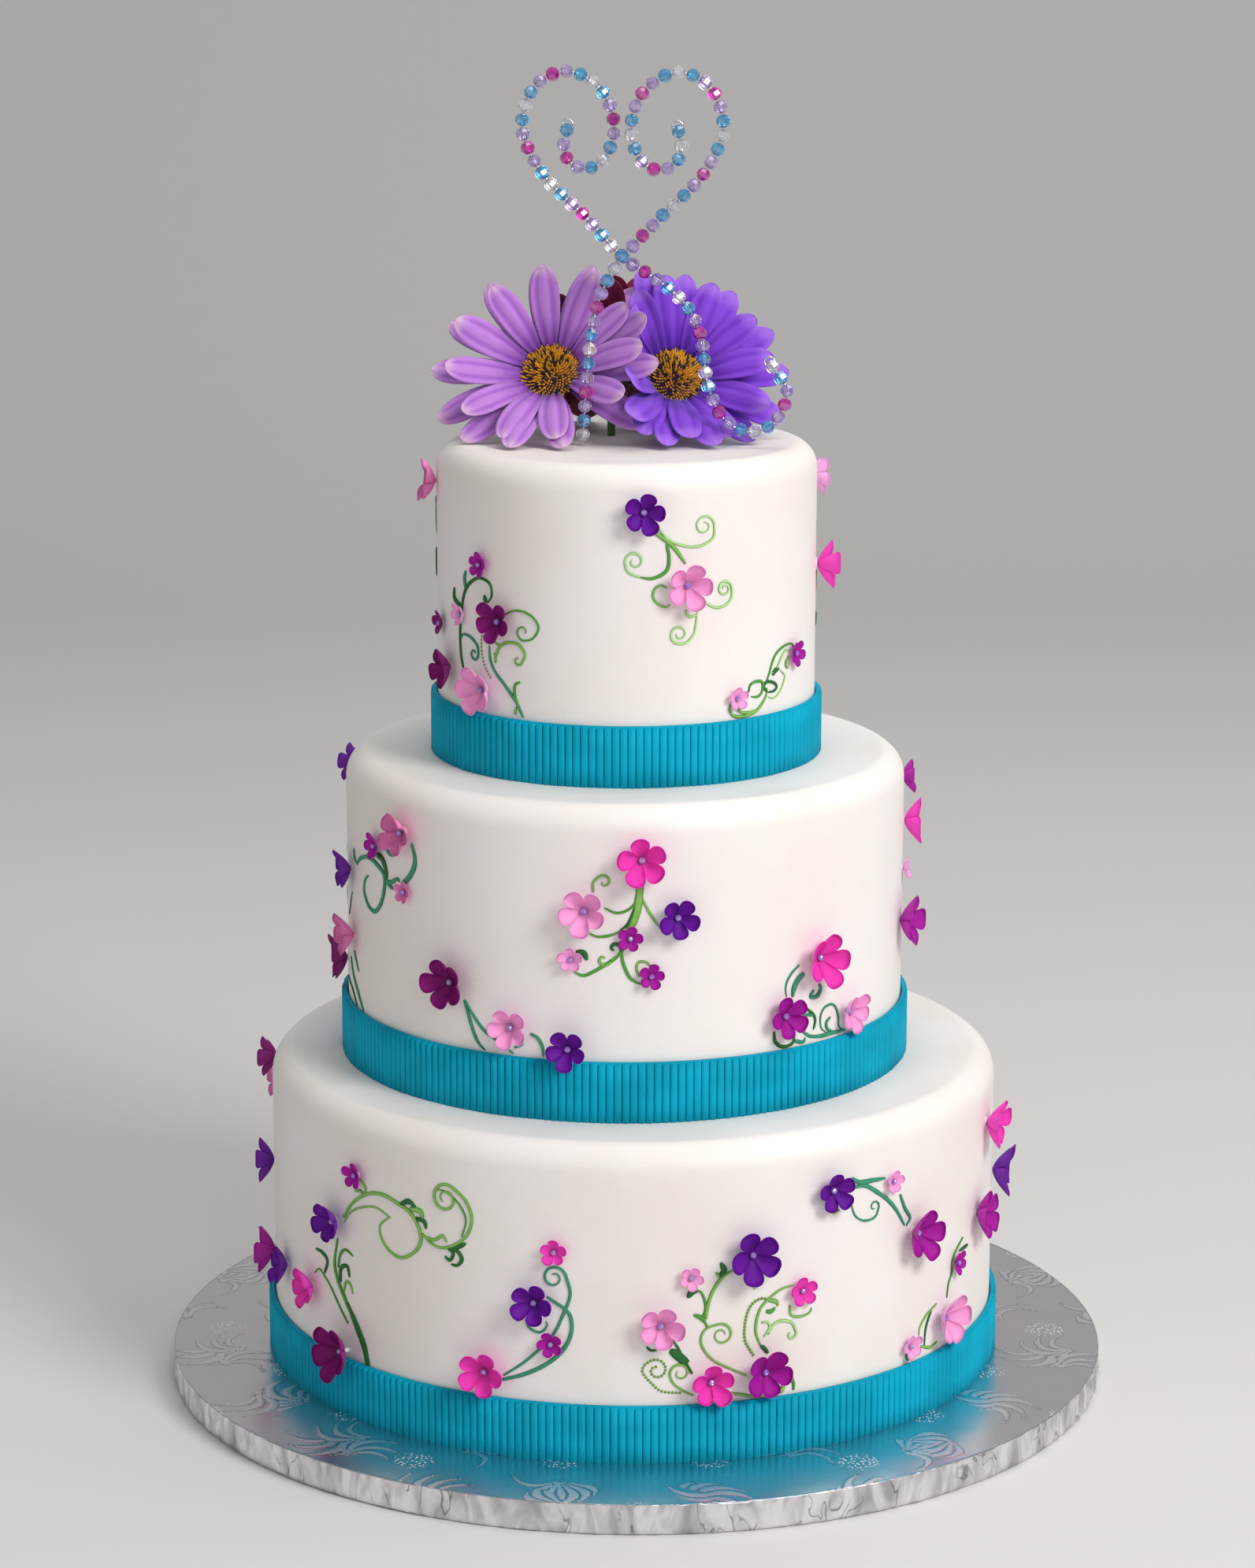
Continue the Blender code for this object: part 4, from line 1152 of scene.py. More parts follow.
# Foil pattern on a triangular lattice: round patches of berries, with fans of leaves between
PATTERN_PITCH = 60.0 * MM
PATCH_RADIUS = 9.5 * MM
BERRY_PITCH = 1.7 * MM
FAN_LEAVES = 7
FAN_SPREAD = math.radians(25)
FAN_CURL = 1.1
FAN_REACH = 29.0 * MM
LEAF_HALF = 2.7 * MM
# A leaf's half width as a share of the step to the next leaf, where they are close
LEAF_SHARE = 0.4
EDGE_ROUND = 1.2 * MM
CREASE_SCALE = (95.0, 95.0, 40.0)
FOLD_SCALE = (75.0, 75.0, 30.0)
# How far the foil goes on under the bottom tier, and how finely it is divided
FOIL_UNDER = 12 * MM
FOIL_SEGMENTS, FOIL_STEP, FOIL_SIDE_STEPS = 1150, 1.05 * MM, 8
# How near its top a point of the foil is embossed, and how far below that it is crumpled
TOP_DEPTH, SIDE_DEPTH = 0.1 * MM, 0.2 * MM
# How far apart the foil's swells, folds, creases and dents are, and how far they stand out
SWELL_APART, SWELL_HEIGHT = 16 * MM, 0.10 * MM
FOLD_APART, FOLD_HEIGHT = 7.5 * MM, 0.45 * MM
CREASE_APART, CREASE_HEIGHT = 4.2 * MM, 0.3 * MM
DENT_APART, DENT_HEIGHT = 20 * MM, 0.3 * MM
# How far inside the board's own radius the side lies before its folds are added
SIDE_INSET = 0.75 * MM
# Covering: how finely it is divided, how far inside its node it lies, how far apart its uneven
# places are, and how far its top and the middle point of that sink
COVERING_SEGMENTS, SHOULDER_STEPS, TOP_STEPS, WALL_STEPS = 240, 9, 8, 16
COVERING_INSET = 0.22 * MM
UNEVEN_APART = 38 * MM
TOP_SINK, MIDDLE_SINK = 0.4 * MM, 0.6 * MM


def lattice_cell(x, y, pitch):
    """Offsets from the nearest point of a triangular lattice, and that point's row and column."""
    row_pitch = pitch * math.sqrt(3) / 2
    found = []
    for row in (math.floor(y / row_pitch), math.floor(y / row_pitch) + 1):
        shift = pitch / 2 * (row % 2)
        column = round((x - shift) / pitch)
        dx, dy = x - shift - column * pitch, y - row * row_pitch
        found.append((dx * dx + dy * dy, dx, dy, row, column))
    return min(found)[1:]


def fan_height(dx, dy):
    """A palmette of leaves that all bend one way, opening upwards from its foot."""
    dy += 0.5 * FAN_REACH
    away, turn = math.hypot(dx, dy), math.atan2(dx, dy)
    best = 0.0
    for leaf in range(FAN_LEAVES):
        order = leaf - (FAN_LEAVES - 1) / 2
        reach = FAN_REACH * (1.1 - 0.12 * abs(order))
        part = away / reach
        if not 0.1 < part < 1:
            continue
        middle = order * FAN_SPREAD * (0.5 + 0.5 * part) + FAN_CURL * (part - 0.45) ** 2 * 2
        half = LEAF_HALF * (1.1 - 0.1 * abs(order)) * math.sin(math.pi * part**1.4) ** 0.8
        half = min(half, LEAF_SHARE * away * FAN_SPREAD * (0.5 + 0.5 * part))
        inside = 1 - (away * (turn - middle) / half) ** 2
        if inside > 0:
            best = max(best, math.sqrt(inside))
    return best


def embossed(x, y):
    """Shares of a leaf's height and of a berry patch at a point of the foil."""
    dx, dy, row, column = lattice_cell(x, y, PATTERN_PITCH)
    patch = max(0.0, 1 - math.hypot(dx, dy) / PATCH_RADIUS)
    leaf = 0.0
    for corner in range(3):
        angle = math.radians(30 + 120 * corner)
        middle = PATTERN_PITCH / math.sqrt(3)
        fx, fy = dx - middle * math.cos(angle), dy - middle * math.sin(angle)
        turn = math.radians(60 * ((row + 2 * column + corner) % 6))
        rx = fx * math.cos(turn) + fy * math.sin(turn)
        ry = fy * math.cos(turn) - fx * math.sin(turn)
        leaf = max(leaf, fan_height(rx, ry))
    return leaf, patch


def make_board(sizes):
    """The board's foil: embossed on top, folded and creased round the side."""
    low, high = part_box("cake_board")
    radius, thick = (high.x - low.x) / 2, high.z - low.z
    inner = wall_of("bottom").radius + RIBBON_THICKNESS - FOIL_UNDER
    edge = EDGE_ROUND
    flat = radius - edge
    steps = round((flat - inner) / FOIL_STEP)
    profile = [(0.0, thick)]
    profile += [(inner + (flat - inner) * n / steps, thick) for n in range(steps + 1)]
    profile += [
        (flat + edge * math.sin(a), thick - edge * (1 - math.cos(a)))
        for a in (math.pi / 6, math.pi / 3, math.pi / 2)
    ]
    profile += [
        (radius, thick - edge - (thick - 2 * edge) * n / FOIL_SIDE_STEPS)
        for n in range(1, FOIL_SIDE_STEPS + 1)
    ]
    profile += [(radius - edge * 0.5, edge * 0.2), (flat, 0.0), (inner, 0.0), (0.0, 0.0)]
    leaves, patches, sides = [0.0], [0.0], [0.0]

    def bend(r, z, angle):
        x, y = r * math.sin(angle), -r * math.cos(angle)
        on_top = r > inner + MM and z > thick - TOP_DEPTH
        on_side = r > flat and z < thick - SIDE_DEPTH
        leaf, patch = embossed(x, y) if on_top else (0.0, 0.0)
        leaves.append(leaf)
        patches.append(patch)
        sides.append(1.0 if on_side else 0.0)
        if on_top:
            swell = noise.noise(Vector((x, y, 0.0)) / SWELL_APART)
            return r, z - sizes.emboss * (1 - leaf) - SWELL_HEIGHT * (1 + swell)
        if on_side:
            fold = 1 - abs(noise.noise(Vector((x, y, 0.4 * z)) / FOLD_APART)) * 2
            crease = 1 - abs(noise.noise(Vector((x, y, z + 1.7)) / CREASE_APART)) * 2
            dent = noise.noise(Vector((x, y, z)) / DENT_APART)
            out = FOLD_HEIGHT * fold**3 + CREASE_HEIGHT * crease**3 + DENT_HEIGHT * dent
            return r - SIDE_INSET + out, z
        return r, z

    points, faces = turned(profile, FOIL_SEGMENTS, 0.0, bend)
    sheaf = Sheaf()
    sheaf.add(points, faces, leaf=[*leaves, 0.0], patch=[*patches, 0.0], side=[*sides, 0.0])
    dress(sheaf.build("foil_board", foil_finish()), "cake_board", slot="foil")


def make_covering(tier, material):
    """The sugar paste of one tier, rolled smooth by hand over a round shoulder."""
    wall = wall_of(tier)
    radius, top = wall.radius, wall.top
    shoulder = [
        (radius - SHOULDER * (1 - math.sin(a)), top - SHOULDER * (1 - math.cos(a)))
        for a in (math.pi / 2 * n / SHOULDER_STEPS for n in range(SHOULDER_STEPS + 1))
    ]
    flat = radius - SHOULDER
    profile = [(0.0, top - MIDDLE_SINK)]
    profile += [(flat * n / TOP_STEPS, top) for n in range(1, TOP_STEPS)]
    profile += shoulder
    span = top - SHOULDER - wall.foot
    profile += [
        (radius, top - SHOULDER - span * n / WALL_STEPS) for n in range(1, WALL_STEPS + 1)
    ]
    profile += [(0.0, wall.foot)]

    def bend(r, z, angle):
        spot = Vector((r * math.sin(angle), r * math.cos(angle), z)) / UNEVEN_APART
        sway = noise.noise(spot) + 0.4 * noise.noise(spot * 3.1)
        if r > flat:
            drop = COVERING_INSET * 0.5 if z > wall.foot else 0.0
            return r - COVERING_INSET * (1 + 0.7 * sway), z - drop
        return r, z - TOP_SINK * (1 + sway)

    sheaf = Sheaf()
    sheaf.add(*turned(profile, COVERING_SEGMENTS, wall.centre, bend))
    dress(sheaf.build(f"covering_{tier}", material), f"tier_{tier}", slot="ivory_paste")


def make_ribbon(tier, sizes, material):
    """The ribbed ribbon round one tier's foot."""
    maker = rib_maker(wall_of(tier), sizes, material)
    grow(Sheaf(), f"ribbed_ribbon_{tier}", maker, f"ribbon_{tier}", slot="teal_paste")


# Vines

SECTION = (-1.0, -0.85, -0.5, 0.0, 0.5, 0.85, 1.0)
SUNK = 0.45 * MM
# How much wider a pressed stroke spreads than its named width
BRUSH = 1.08
# Steps from one knot of a stroke to the next, and from one section to the next in millimetres
KNOT_STEPS, STROKE_STEP = 6, 0.9
# A curl's steps to a turn, and the share of its radius that it loses by its end
CURL_STEPS, CURL_TIGHTENS = 18, 0.72
# Icing dots: radius as a share of the stroke's width, flatness, how deep they sink, their share
# of the lime paint's brightness, and how near their colour is to that of a stroke's edge
DOT_SHARE, DOT_FLATNESS, DOT_SUNK = 0.8, 0.6, 0.1 * MM
DOT_TONE, DOT_EDGE = 0.7, 0.3


def stroke_line(knots, curl):
    """A stroke's middle line in the wall's own plane, with the spiral that it ends in."""
    line = smooth_path(knots, KNOT_STEPS)
    if not curl:
        return line
    radius, turns = curl
    heading = math.atan2(*(line[-1] - line[-2]).yx)
    steps = max(6, round(CURL_STEPS * turns))
    swing = 2 * math.pi * turns / steps
    for step in range(steps):
        reach = abs(radius) * (1 - CURL_TIGHTENS * step / steps)
        heading += math.copysign(swing, radius)
        line.append(line[-1] + Vector((math.cos(heading), math.sin(heading))) * swing * reach)
    return line


def add_stroke(sheaf, wall, degrees, line, width, paint, relief):
    """A tapering ridge of paint along a line on the wall."""
    line = spaced(line, STROKE_STEP)
    points, edges, last = [], [], len(line) - 1
    for index, spot in enumerate(line):
        ahead = line[min(index + 1, last)] - line[max(index - 1, 0)]
        side = Vector((ahead.y, -ahead.x)).normalized()
        part = index / last
        swell = math.sin(math.pi * min(1.0, 0.12 + 0.88 * part)) ** 0.6 if part < 1 else 0.0
        wobble = 1 + 0.16 * noise.noise(Vector((spot.x, spot.y, degrees)) / 3.1)
        half = 0.5 * BRUSH * width * (0.34 + 0.66 * swell) * wobble
        rise = relief * min(1.0, 0.55 + half / 2) * (0.7 if index in (0, last) else 1.0)
        for across in SECTION:
            place = spot + side * (across * half)
            out = rise * math.sqrt(1 - across**2) - (SUNK if abs(across) == 1 else 0.0)
            angle = math.radians(degrees) + place.x * MM / wall.radius
            points.append(on_wall(wall, angle, place.y * MM, out))
            edges.append(abs(across))
    columns = len(SECTION)
    faces = [(a, d, c, b) for a, b, c, d in grid_faces(len(line), columns, closed=True)]
    faces.append(tuple(range(columns)))
    faces.append(tuple(reversed(range(last * columns, (last + 1) * columns))))
    sheaf.add(points, faces, paint=[paint] * len(points), edge=edges)


def vine_sprays(tier):
    """(degrees, millimetres up, strokes) of each spray on a tier."""
    for name, degrees, strokes in SPRAYS:
        if name == tier:
            yield degrees, 0, strokes
    for degrees, up in BACK_SPRAY_PLACES[tier] + SIDE_SPRAY_PLACES[tier]:
        yield degrees, up, BACK_VINES


def make_vines(tier, colours, sizes, paint_finish, dot_finish):
    """Painted strokes and rows of icing dots on one tier."""
    wall = wall_of(tier)
    strokes, dots = Sheaf(), Sheaf()
    dot_paint = toned(colours.lime, DOT_TONE)
    for degrees, raise_by, spray in vine_sprays(tier):
        for hue, width, knots, curl in spray:
            line = stroke_line([(x, y + raise_by) for x, y in knots], curl)
            if hue != "dots":
                paint = tuple(getattr(colours, hue))
                add_stroke(strokes, wall, degrees, line, width, paint, sizes.vine_relief)
                continue
            for spot in spaced(line, sizes.dot_pitch / MM):
                angle = math.radians(degrees) + spot.x * MM / wall.radius
                dots.add_grain(
                    on_wall(wall, angle, spot.y * MM, -DOT_SUNK), size=width * MM * DOT_SHARE,
                    flatness=DOT_FLATNESS, facing=(math.sin(angle), -math.cos(angle), 0.0),
                    paint=dot_paint, edge=DOT_EDGE,
                )
    dress(strokes.build(f"vines_{tier}", paint_finish))
    grow(dots, f"icing_dots_{tier}", grain_maker("icing dots", dot_finish, 8, 5, True))


# Sugar blossoms

PETALS = 5
PETAL_POINTS = 14
CUP_RINGS = 7
# A cup is measured across its petals, which is less than twice its reach
FULL_REACH = 1.09
# Cups: rim between two petals, rise of the tips and of the petals' sides as shares of the radius,
# and how round a petal's end is
LARGE = {"notch": 0.50, "tip": 0.62, "spoon": 0.22, "round": 2.5}
SMALL = {"notch": 0.48, "tip": 0.42, "spoon": 0.05, "round": 2.2}
# A blossom's seed is its number, and so many more for each tier above the bottom one
TIER_SEEDS = 40
# How far a blossom may be tipped from the wall, in radians
TIPS_BY = 0.09
# Pearls: size in a small blossom, height in their own radii over the cup, and flatness
SMALL_PEARL, PEARL_HEIGHT, PEARL_FLATNESS = 0.8, 0.75, 0.9
# Dabs of icing: how far they reach past the gap that they fill, and their radius as a share of the
# blossom's width, on the bare wall and over a ribbon
DAB_REACH, DAB_SHARE, RIBBON_DAB_SHARE = 0.4 * MM, 0.15, 0.045


def add_cup(sheaf, place, diameter, roll, paste, number):
    """One cup of five rounded petals, each a little different, as a thin closed shell."""
    shape = LARGE if diameter >= LEAST_NODE_DIAMETER else SMALL
    radius = FULL_REACH * diameter / 2
    around = PETALS * PETAL_POINTS
    fronts, backs, reaches = [], [], []
    for ring in range(CUP_RINGS + 1):
        part = ring / CUP_RINGS
        for step in range(around):
            petal, within = divmod(step, PETAL_POINTS)
            off = math.sin((within / PETAL_POINTS - 0.5) * math.pi)
            luck = noise.noise(Vector((petal * 3.7, number * 1.3, 0.5)))
            more = noise.noise(Vector((petal * 2.1, number * 2.9, 7.5)))
            lobe = math.sqrt(1 - abs(off) ** shape["round"])
            rim = radius * (shape["notch"] + (1 - shape["notch"]) * lobe) * (1 + 0.09 * luck)
            reach = rim * part
            angle = roll + math.radians(72) * (petal + off / 2)
            rise = shape["tip"] * (1 + 0.5 * more) * radius * (reach / radius) ** 1.5
            rise += shape["spoon"] * radius * off**2 * part**2
            flare = 0.05 * radius * max(0.0, part - 0.8) * 5 * more
            out = reach + flare
            fronts.append(Vector((out * math.cos(angle), out * math.sin(angle), rise + paste)))
            reaches.append(reach / radius)
    lean = [Vector((p.x, p.y, 0.0)).normalized() if p.xy.length > 1e-6 else Vector() for p in fronts]
    for index, (front, away) in enumerate(zip(fronts, lean)):
        part = (index // around) / CUP_RINGS
        thin = paste * (1 - 0.45 * part**3)
        slope = 0.95 * min(1.0, part * 1.4)
        backs.append(front + (away * slope - Vector((0, 0, 1)) * math.sqrt(1.3 - slope**2)) * thin)
    for index in range(around):
        backs[index].z = 0.0
    front_faces = grid_faces(CUP_RINGS + 1, around, closed=True)
    total = len(fronts)
    faces = [face[::-1] for face in front_faces]
    faces += [tuple(index + total for index in face) for face in front_faces]
    start = CUP_RINGS * around
    for step in range(around):
        a, b = start + step, start + (step + 1) % around
        faces.append((b, a, a + total, b + total)[::-1])
    points = [place @ point for point in fronts + backs]
    outside = [0.0] * total + [1.0] * total
    sheaf.add(points, faces, reach=reaches * 2, outside=outside)


def stand_off(wall, up, diameter):
    """How far a blossom is held off the wall, enough to clear the ribbon where it hangs over it."""
    return RIBBON_THICKNESS + GAP if up - diameter / 2 < wall.ribbon + GAP else 0.0


def all_blossoms():
    """(tier, number, blossom) of each blossom, with those out of view numbered after the rest."""
    for tier in TIERS:
        back = [
            (degrees + turn, up + rise, across, tone, roll)
            for degrees, up in BACK_SPRAY_PLACES[tier]
            for turn, rise, across, tone, roll in BACK_SPRAY
        ]
        for number, blossom in enumerate(BLOSSOMS[tier] + back, 1):
            yield tier, number, blossom


def make_blossoms(colours, sizes):
    """The blossoms, joined by colour, with a pearl in each and a dab of icing behind it."""
    groups, nodes = {}, {}
    pearls, dabs = Sheaf(), Sheaf()
    for tier, number, (degrees, up, across, tone, roll) in all_blossoms():
        wall = wall_of(tier)
        diameter, height = across * MM, up * MM
        off = stand_off(wall, height, diameter)
        seed = number + TIER_SEEDS * TIERS.index(tier)
        tip = [TIPS_BY * noise.noise(Vector((seed * 1.7, y, 0))) for y in (2.5, 9.5)]
        place = facing(wall, degrees, height, GAP + off, tip)
        sheaf = groups.setdefault(tone, Sheaf())
        add_cup(sheaf, place, diameter, math.radians(roll), sizes.petal_paste, seed)
        large = diameter >= LEAST_NODE_DIAMETER
        if large and number <= len(BLOSSOMS[tier]):
            nodes.setdefault(tone, []).append(f"blossom_{tier}_{number:02d}")
        outwards = tuple(place.to_3x3() @ Vector((0, 0, 1)))
        size = sizes.pearl_radius * (1.0 if large else SMALL_PEARL)
        pearls.add_grain(
            place @ Vector((0, 0, sizes.petal_paste + PEARL_HEIGHT * size)), size=size,
            flatness=PEARL_FLATNESS, facing=outwards,
        )
        half_gap = 0.5 * (GAP + off) + DAB_REACH
        spread = (RIBBON_DAB_SHARE if off else DAB_SHARE) * diameter
        dabs.add_grain(
            place @ Vector((0, 0, -half_gap)), size=spread, flatness=half_gap / spread,
            facing=outwards,
        )
    for tone, sheaf in groups.items():
        piece = sheaf.build(f"blossoms_{tone}", petal_finish(tone, tuple(getattr(colours, tone))))
        dress(piece, *nodes.get(tone, []), slot=tone)
    grow(pearls, "blossom_pearls", grain_maker("pearls", pearl_finish(colours), 10, 7, False))
    grow(dabs, "icing_dabs", grain_maker("icing dabs", icing_finish(), 12, 8, True))


# Silk daisies

SILK_COLUMNS = 13
# Shares of a petal's length, closer together where its tip is rounded
SILK_ROWS = [0.72 * row / 9 for row in range(9)]
SILK_ROWS += [0.72 + 0.28 * math.sin(math.pi / 2 * row / 7) for row in range(8)]
ROOT_HALF, WIDEST_HALF, LEAST_HALF = 2.2 * MM, 6.5 * MM, 0.3 * MM
WIDEST_AT = 0.64
# How far a petal bows up and sways sideways at most, and how far it keeps off the cake
PETAL_BOW, PETAL_SWAY, PETAL_CLEAR = 3.2 * MM, 3.0 * MM, 0.6 * MM
# A petal's seed is its number in its ring, and so many more for the second ring and for a head
RING_SEEDS, HEAD_SEEDS = 17, 31
TUBE_SIDES = 8
# Green cup behind a head, as radius and distance in front of the disc's middle, in millimetres
CALYX = [(0, -2), (7.5, -4), (6.5, -6.5), (3, -11), (2, -13), (0, -13.2)]
STEM_RADIUS = 1.7 * MM
# How far behind the disc's middle the stem starts and bends down, how deep it goes into the cake,
# how much of it is upright, and the share of its first stretch that it still goes back
STEM_START, STEM_BEND, STEM_DEPTH, STEM_UPRIGHT = 9 * MM, 16 * MM, 3 * MM, 8 * MM
STEM_LEAN = 0.4
DISC_SIDES, DISC_STEPS, CALYX_SIDES = 32, 9, 16


def head_axes(daisy):
    """Right, up and forward of a daisy's head."""
    turn, lift = math.radians(daisy.turn), math.radians(daisy.lift)
    forward = Vector((
        math.sin(turn) * math.cos(lift), -math.cos(turn) * math.cos(lift), math.sin(lift),
    ))
    right = Vector((math.cos(turn), math.sin(turn), 0.0))
    return right, forward.cross(right), forward


def reaches_in(daisy, tip, centre, floor, vary):
    """Whether a petal's tip reaches into another head."""
    if daisy.limit is None:
        behind = REAR_START + REAR_SLOPE * (tip.z - floor)
        return abs(tip.x - centre.x) > REAR_FREE and tip.y < behind
    inwards = -math.copysign(1.0, daisy.place[0])
    across = tip.x - centre.x + daisy.place[0]
    return inwards * (across - daisy.limit) > vary


def petal_ends(daisy, centre, floor, ring, index):
    """Root and tip of a petal. One that would reach into the other head leans forward, and is
    shorter where that isn't enough. One that would sink into the cake lies forward over it."""
    number, reach, lean, start = PETAL_RINGS[ring]
    right, up, forward = head_axes(daisy)
    pitch = (360 - PARTING_WIDTH) / number
    angle = math.radians(daisy.parting + PARTING_WIDTH / 2 + pitch * (index + 0.5))
    out = math.cos(angle) * right + math.sin(angle) * up
    root = centre + ROOT_REACH * out + start * forward
    span = reach * daisy.radius - ROOT_REACH
    vary = LIMIT_VARIES * math.sin(2.3 * index + ring)
    most_lean = REAR_LEAN if daisy.limit is None else MOST_LEAN
    while True:
        tilt = math.radians(lean)
        tip = root + span * (math.cos(tilt) * out + math.sin(tilt) * forward)
        if span <= LEAST_SPAN or not reaches_in(daisy, tip, centre, floor, vary):
            break
        if lean < most_lean:
            lean += LEAN_STEP
        else:
            span -= SPAN_STEP
    least = floor + PETAL_REST * (1 + ring)
    if tip.z < least:
        drop = root.z - least
        flat = Vector((tip.x - root.x, tip.y - root.y, 0.0))
        flat += Vector((forward.x, forward.y, 0.0)) * (least - tip.z)
        tip = root + flat.normalized() * math.sqrt(span**2 - drop**2)
        tip.z = least
    return root, tip


def add_petal(sheaf, root, tip, forward, silk, floor, number, longer):
    """A silk petal with lengthwise folds, rounded at its tip, as a thin closed shell."""
    along = tip - root
    span = along.length
    along.normalize()
    across = forward.cross(along).normalized()
    normal = along.cross(across).normalized()
    if normal.dot(forward) < 0:
        across, normal = -across, -normal
    luck = noise.noise(Vector((number * 1.9, 0.4, 3.3)))
    other = noise.noise(Vector((number * 2.3, 8.4, 1.3)))
    front, shares, folds = [], [], []
    span *= longer + 0.05 * luck
    for part in SILK_ROWS:
        opening = min(1.0, part / WIDEST_AT)
        width = ROOT_HALF + (WIDEST_HALF - ROOT_HALF) * opening * (2 - opening)
        width *= math.sqrt(1 - max(0.0, (part - WIDEST_AT) / (1 - WIDEST_AT)) ** 2.3)
        width = max(width * (1 + 0.12 * luck), LEAST_HALF)
        for column in range(SILK_COLUMNS):
            side = 2 * column / (SILK_COLUMNS - 1) - 1
            crease = math.cos(2 * math.pi * side + 0.6 * luck)
            depth = (0.55 + 0.3 * other) * MM * (1 - 0.7 * part) * min(1.0, 8 * part + 0.3)
            bow = PETAL_BOW * math.sin(math.pi * part) * (0.45 + other)
            bow -= (1.1 + 0.8 * luck) * MM * side**2 * part * (width / WIDEST_HALF)
            sway = PETAL_SWAY * other * part**2
            spot = root + along * (span * part) + across * (side * width + sway)
            spot += normal * (crease * depth + bow)
            spot.z = max(spot.z, floor + PETAL_CLEAR)
            front.append(spot)
            shares.append(part)
            folds.append(0.5 + 0.5 * crease)
    back = [spot - normal * silk for spot in front]
    total = len(front)
    rows = len(SILK_ROWS)
    faces = [face[::-1] for face in grid_faces(rows, SILK_COLUMNS)]
    faces += [tuple(index + total for index in face[::-1]) for face in faces]
    border = list(range(SILK_COLUMNS))
    border += [row * SILK_COLUMNS + SILK_COLUMNS - 1 for row in range(1, rows)]
    border += list(range(total - 2, total - SILK_COLUMNS - 1, -1))
    border += [row * SILK_COLUMNS for row in range(rows - 2, 0, -1)]
    for a, b in zip(border, border[1:] + border[:1]):
        faces.append((a, b, b + total, a + total))
    sheaf.add(front + back, faces, along=shares * 2, fold=folds * 2)


def tube(sheaf, path, radius):
    """A round tube along a path, closed at both ends."""
    points, last = [], len(path) - 1
    for index, spot in enumerate(path):
        ahead = (path[min(index + 1, last)] - path[max(index - 1, 0)]).normalized()
        side = ahead.cross(Vector((0, 1, 0))).normalized()
        other = ahead.cross(side)
        for step in range(TUBE_SIDES):
            angle = 2 * math.pi * step / TUBE_SIDES
            points.append(spot + radius * (math.cos(angle) * side + math.sin(angle) * other))
    faces = grid_faces(len(path), TUBE_SIDES, closed=True)
    faces.append(tuple(reversed(range(TUBE_SIDES))))
    faces.append(tuple(range(last * TUBE_SIDES, (last + 1) * TUBE_SIDES)))
    sheaf.add(points, faces)


def make_stem(name, frame_of_head, floor, material):
    """The green cup behind a head, and the stem that bends down from it into the cake."""
    sheaf = Sheaf()
    cup = [(radius * MM, ahead * MM) for radius, ahead in CALYX]
    points, faces = turned(cup, CALYX_SIDES, 0.0)
    sheaf.add([frame_of_head @ point for point in points], faces)
    start, bend = (frame_of_head @ Vector((0, 0, -behind)) for behind in (STEM_START, STEM_BEND))
    foot = Vector((bend.x, bend.y, floor - STEM_DEPTH))
    foot += (bend - start) * Vector((STEM_LEAN, STEM_LEAN, 0.0))
    path = smooth_path([start, bend, foot + Vector((0, 0, STEM_UPRIGHT)), foot], KNOT_STEPS)
    tube(sheaf, path, STEM_RADIUS)
    dress(sheaf.build(f"daisy_stem_{name}", material))


def make_disc(name, sizes, frame_of_head, material):
    """A head's domed dark core with florets all over it."""
    dome = [(0.0, DISC_HEIGHT)]
    for step in range(1, DISC_STEPS):
        a = math.pi * step / DISC_STEPS
        dome.append((0.98 * DISC_RADIUS * math.sin(a), DISC_HEIGHT * math.cos(a)))
    dome.append((0.0, -DISC_HEIGHT))
    points, faces = turned(dome, DISC_SIDES, 0.0)
    core = Sheaf()
    # The core gets the highest chance and so the dark floret colour: painted shade in the gaps between
    # florets
    core.add([frame_of_head @ point for point in points], faces, chance=[1.0] * len(points))
    grow(core, f"daisy_disc_{name}", floret_maker(sizes.florets, frame_of_head, material))


def make_daisy(name, sizes, silk_material, disc_material, stem_material):
    """A head's two rings of silk petals with its disc, its green cup and its stem."""
    daisy = DAISIES[name]
    wall = wall_of("top")
    centre = Vector((wall.centre, 0.0, wall.top)) + Vector(daisy.place)
    right, up, forward = head_axes(daisy)
    petals = Sheaf()
    for ring, (number, *_) in enumerate(PETAL_RINGS):
        for index in range(number):
            root, tip = petal_ends(daisy, centre, wall.top, ring, index)
            seed = index + RING_SEEDS * ring + HEAD_SEEDS * list(DAISIES).index(name)
            add_petal(petals, root, tip, forward, sizes.silk, wall.top, seed, FULL_SPAN[name])
    piece = petals.build(f"daisy_petals_{name}", silk_material)
    dress(piece, f"daisy_{name}", slot=f"{name}_silk")
    frame_of_head = Matrix.Translation(centre) @ Matrix((right, up, forward)).transposed().to_4x4()
    make_disc(name, sizes, frame_of_head, disc_material)
    make_stem(name, frame_of_head, wall.top, stem_material)


# Beaded wires

BEAD_ORDER = (0, 1, 2, 3, 2, 1)
# A bead's length as a share of its width
BEAD_FLATNESS = 0.97
WIRE_STEP = 2.0 * MM
WIRE_KNOT_STEPS, EYELET_STEPS = 24, 15
# How far below its first bead the front wire goes into the cake
WIRE_DEPTH = 5 * MM


def eyelet(end, before):
    """A round loop that a wire's free end is bent into."""
    ahead = (end - before).normalized()
    side = ahead.cross(Vector((0, 1, 0)))
    middle = end + ahead * EYELET_RADIUS
    loop = []
    for step in range(EYELET_STEPS):
        angle = 2 * math.pi * step / EYELET_STEPS
        loop.append(middle - EYELET_RADIUS * (math.cos(angle) * ahead + math.sin(angle) * side))
    return loop


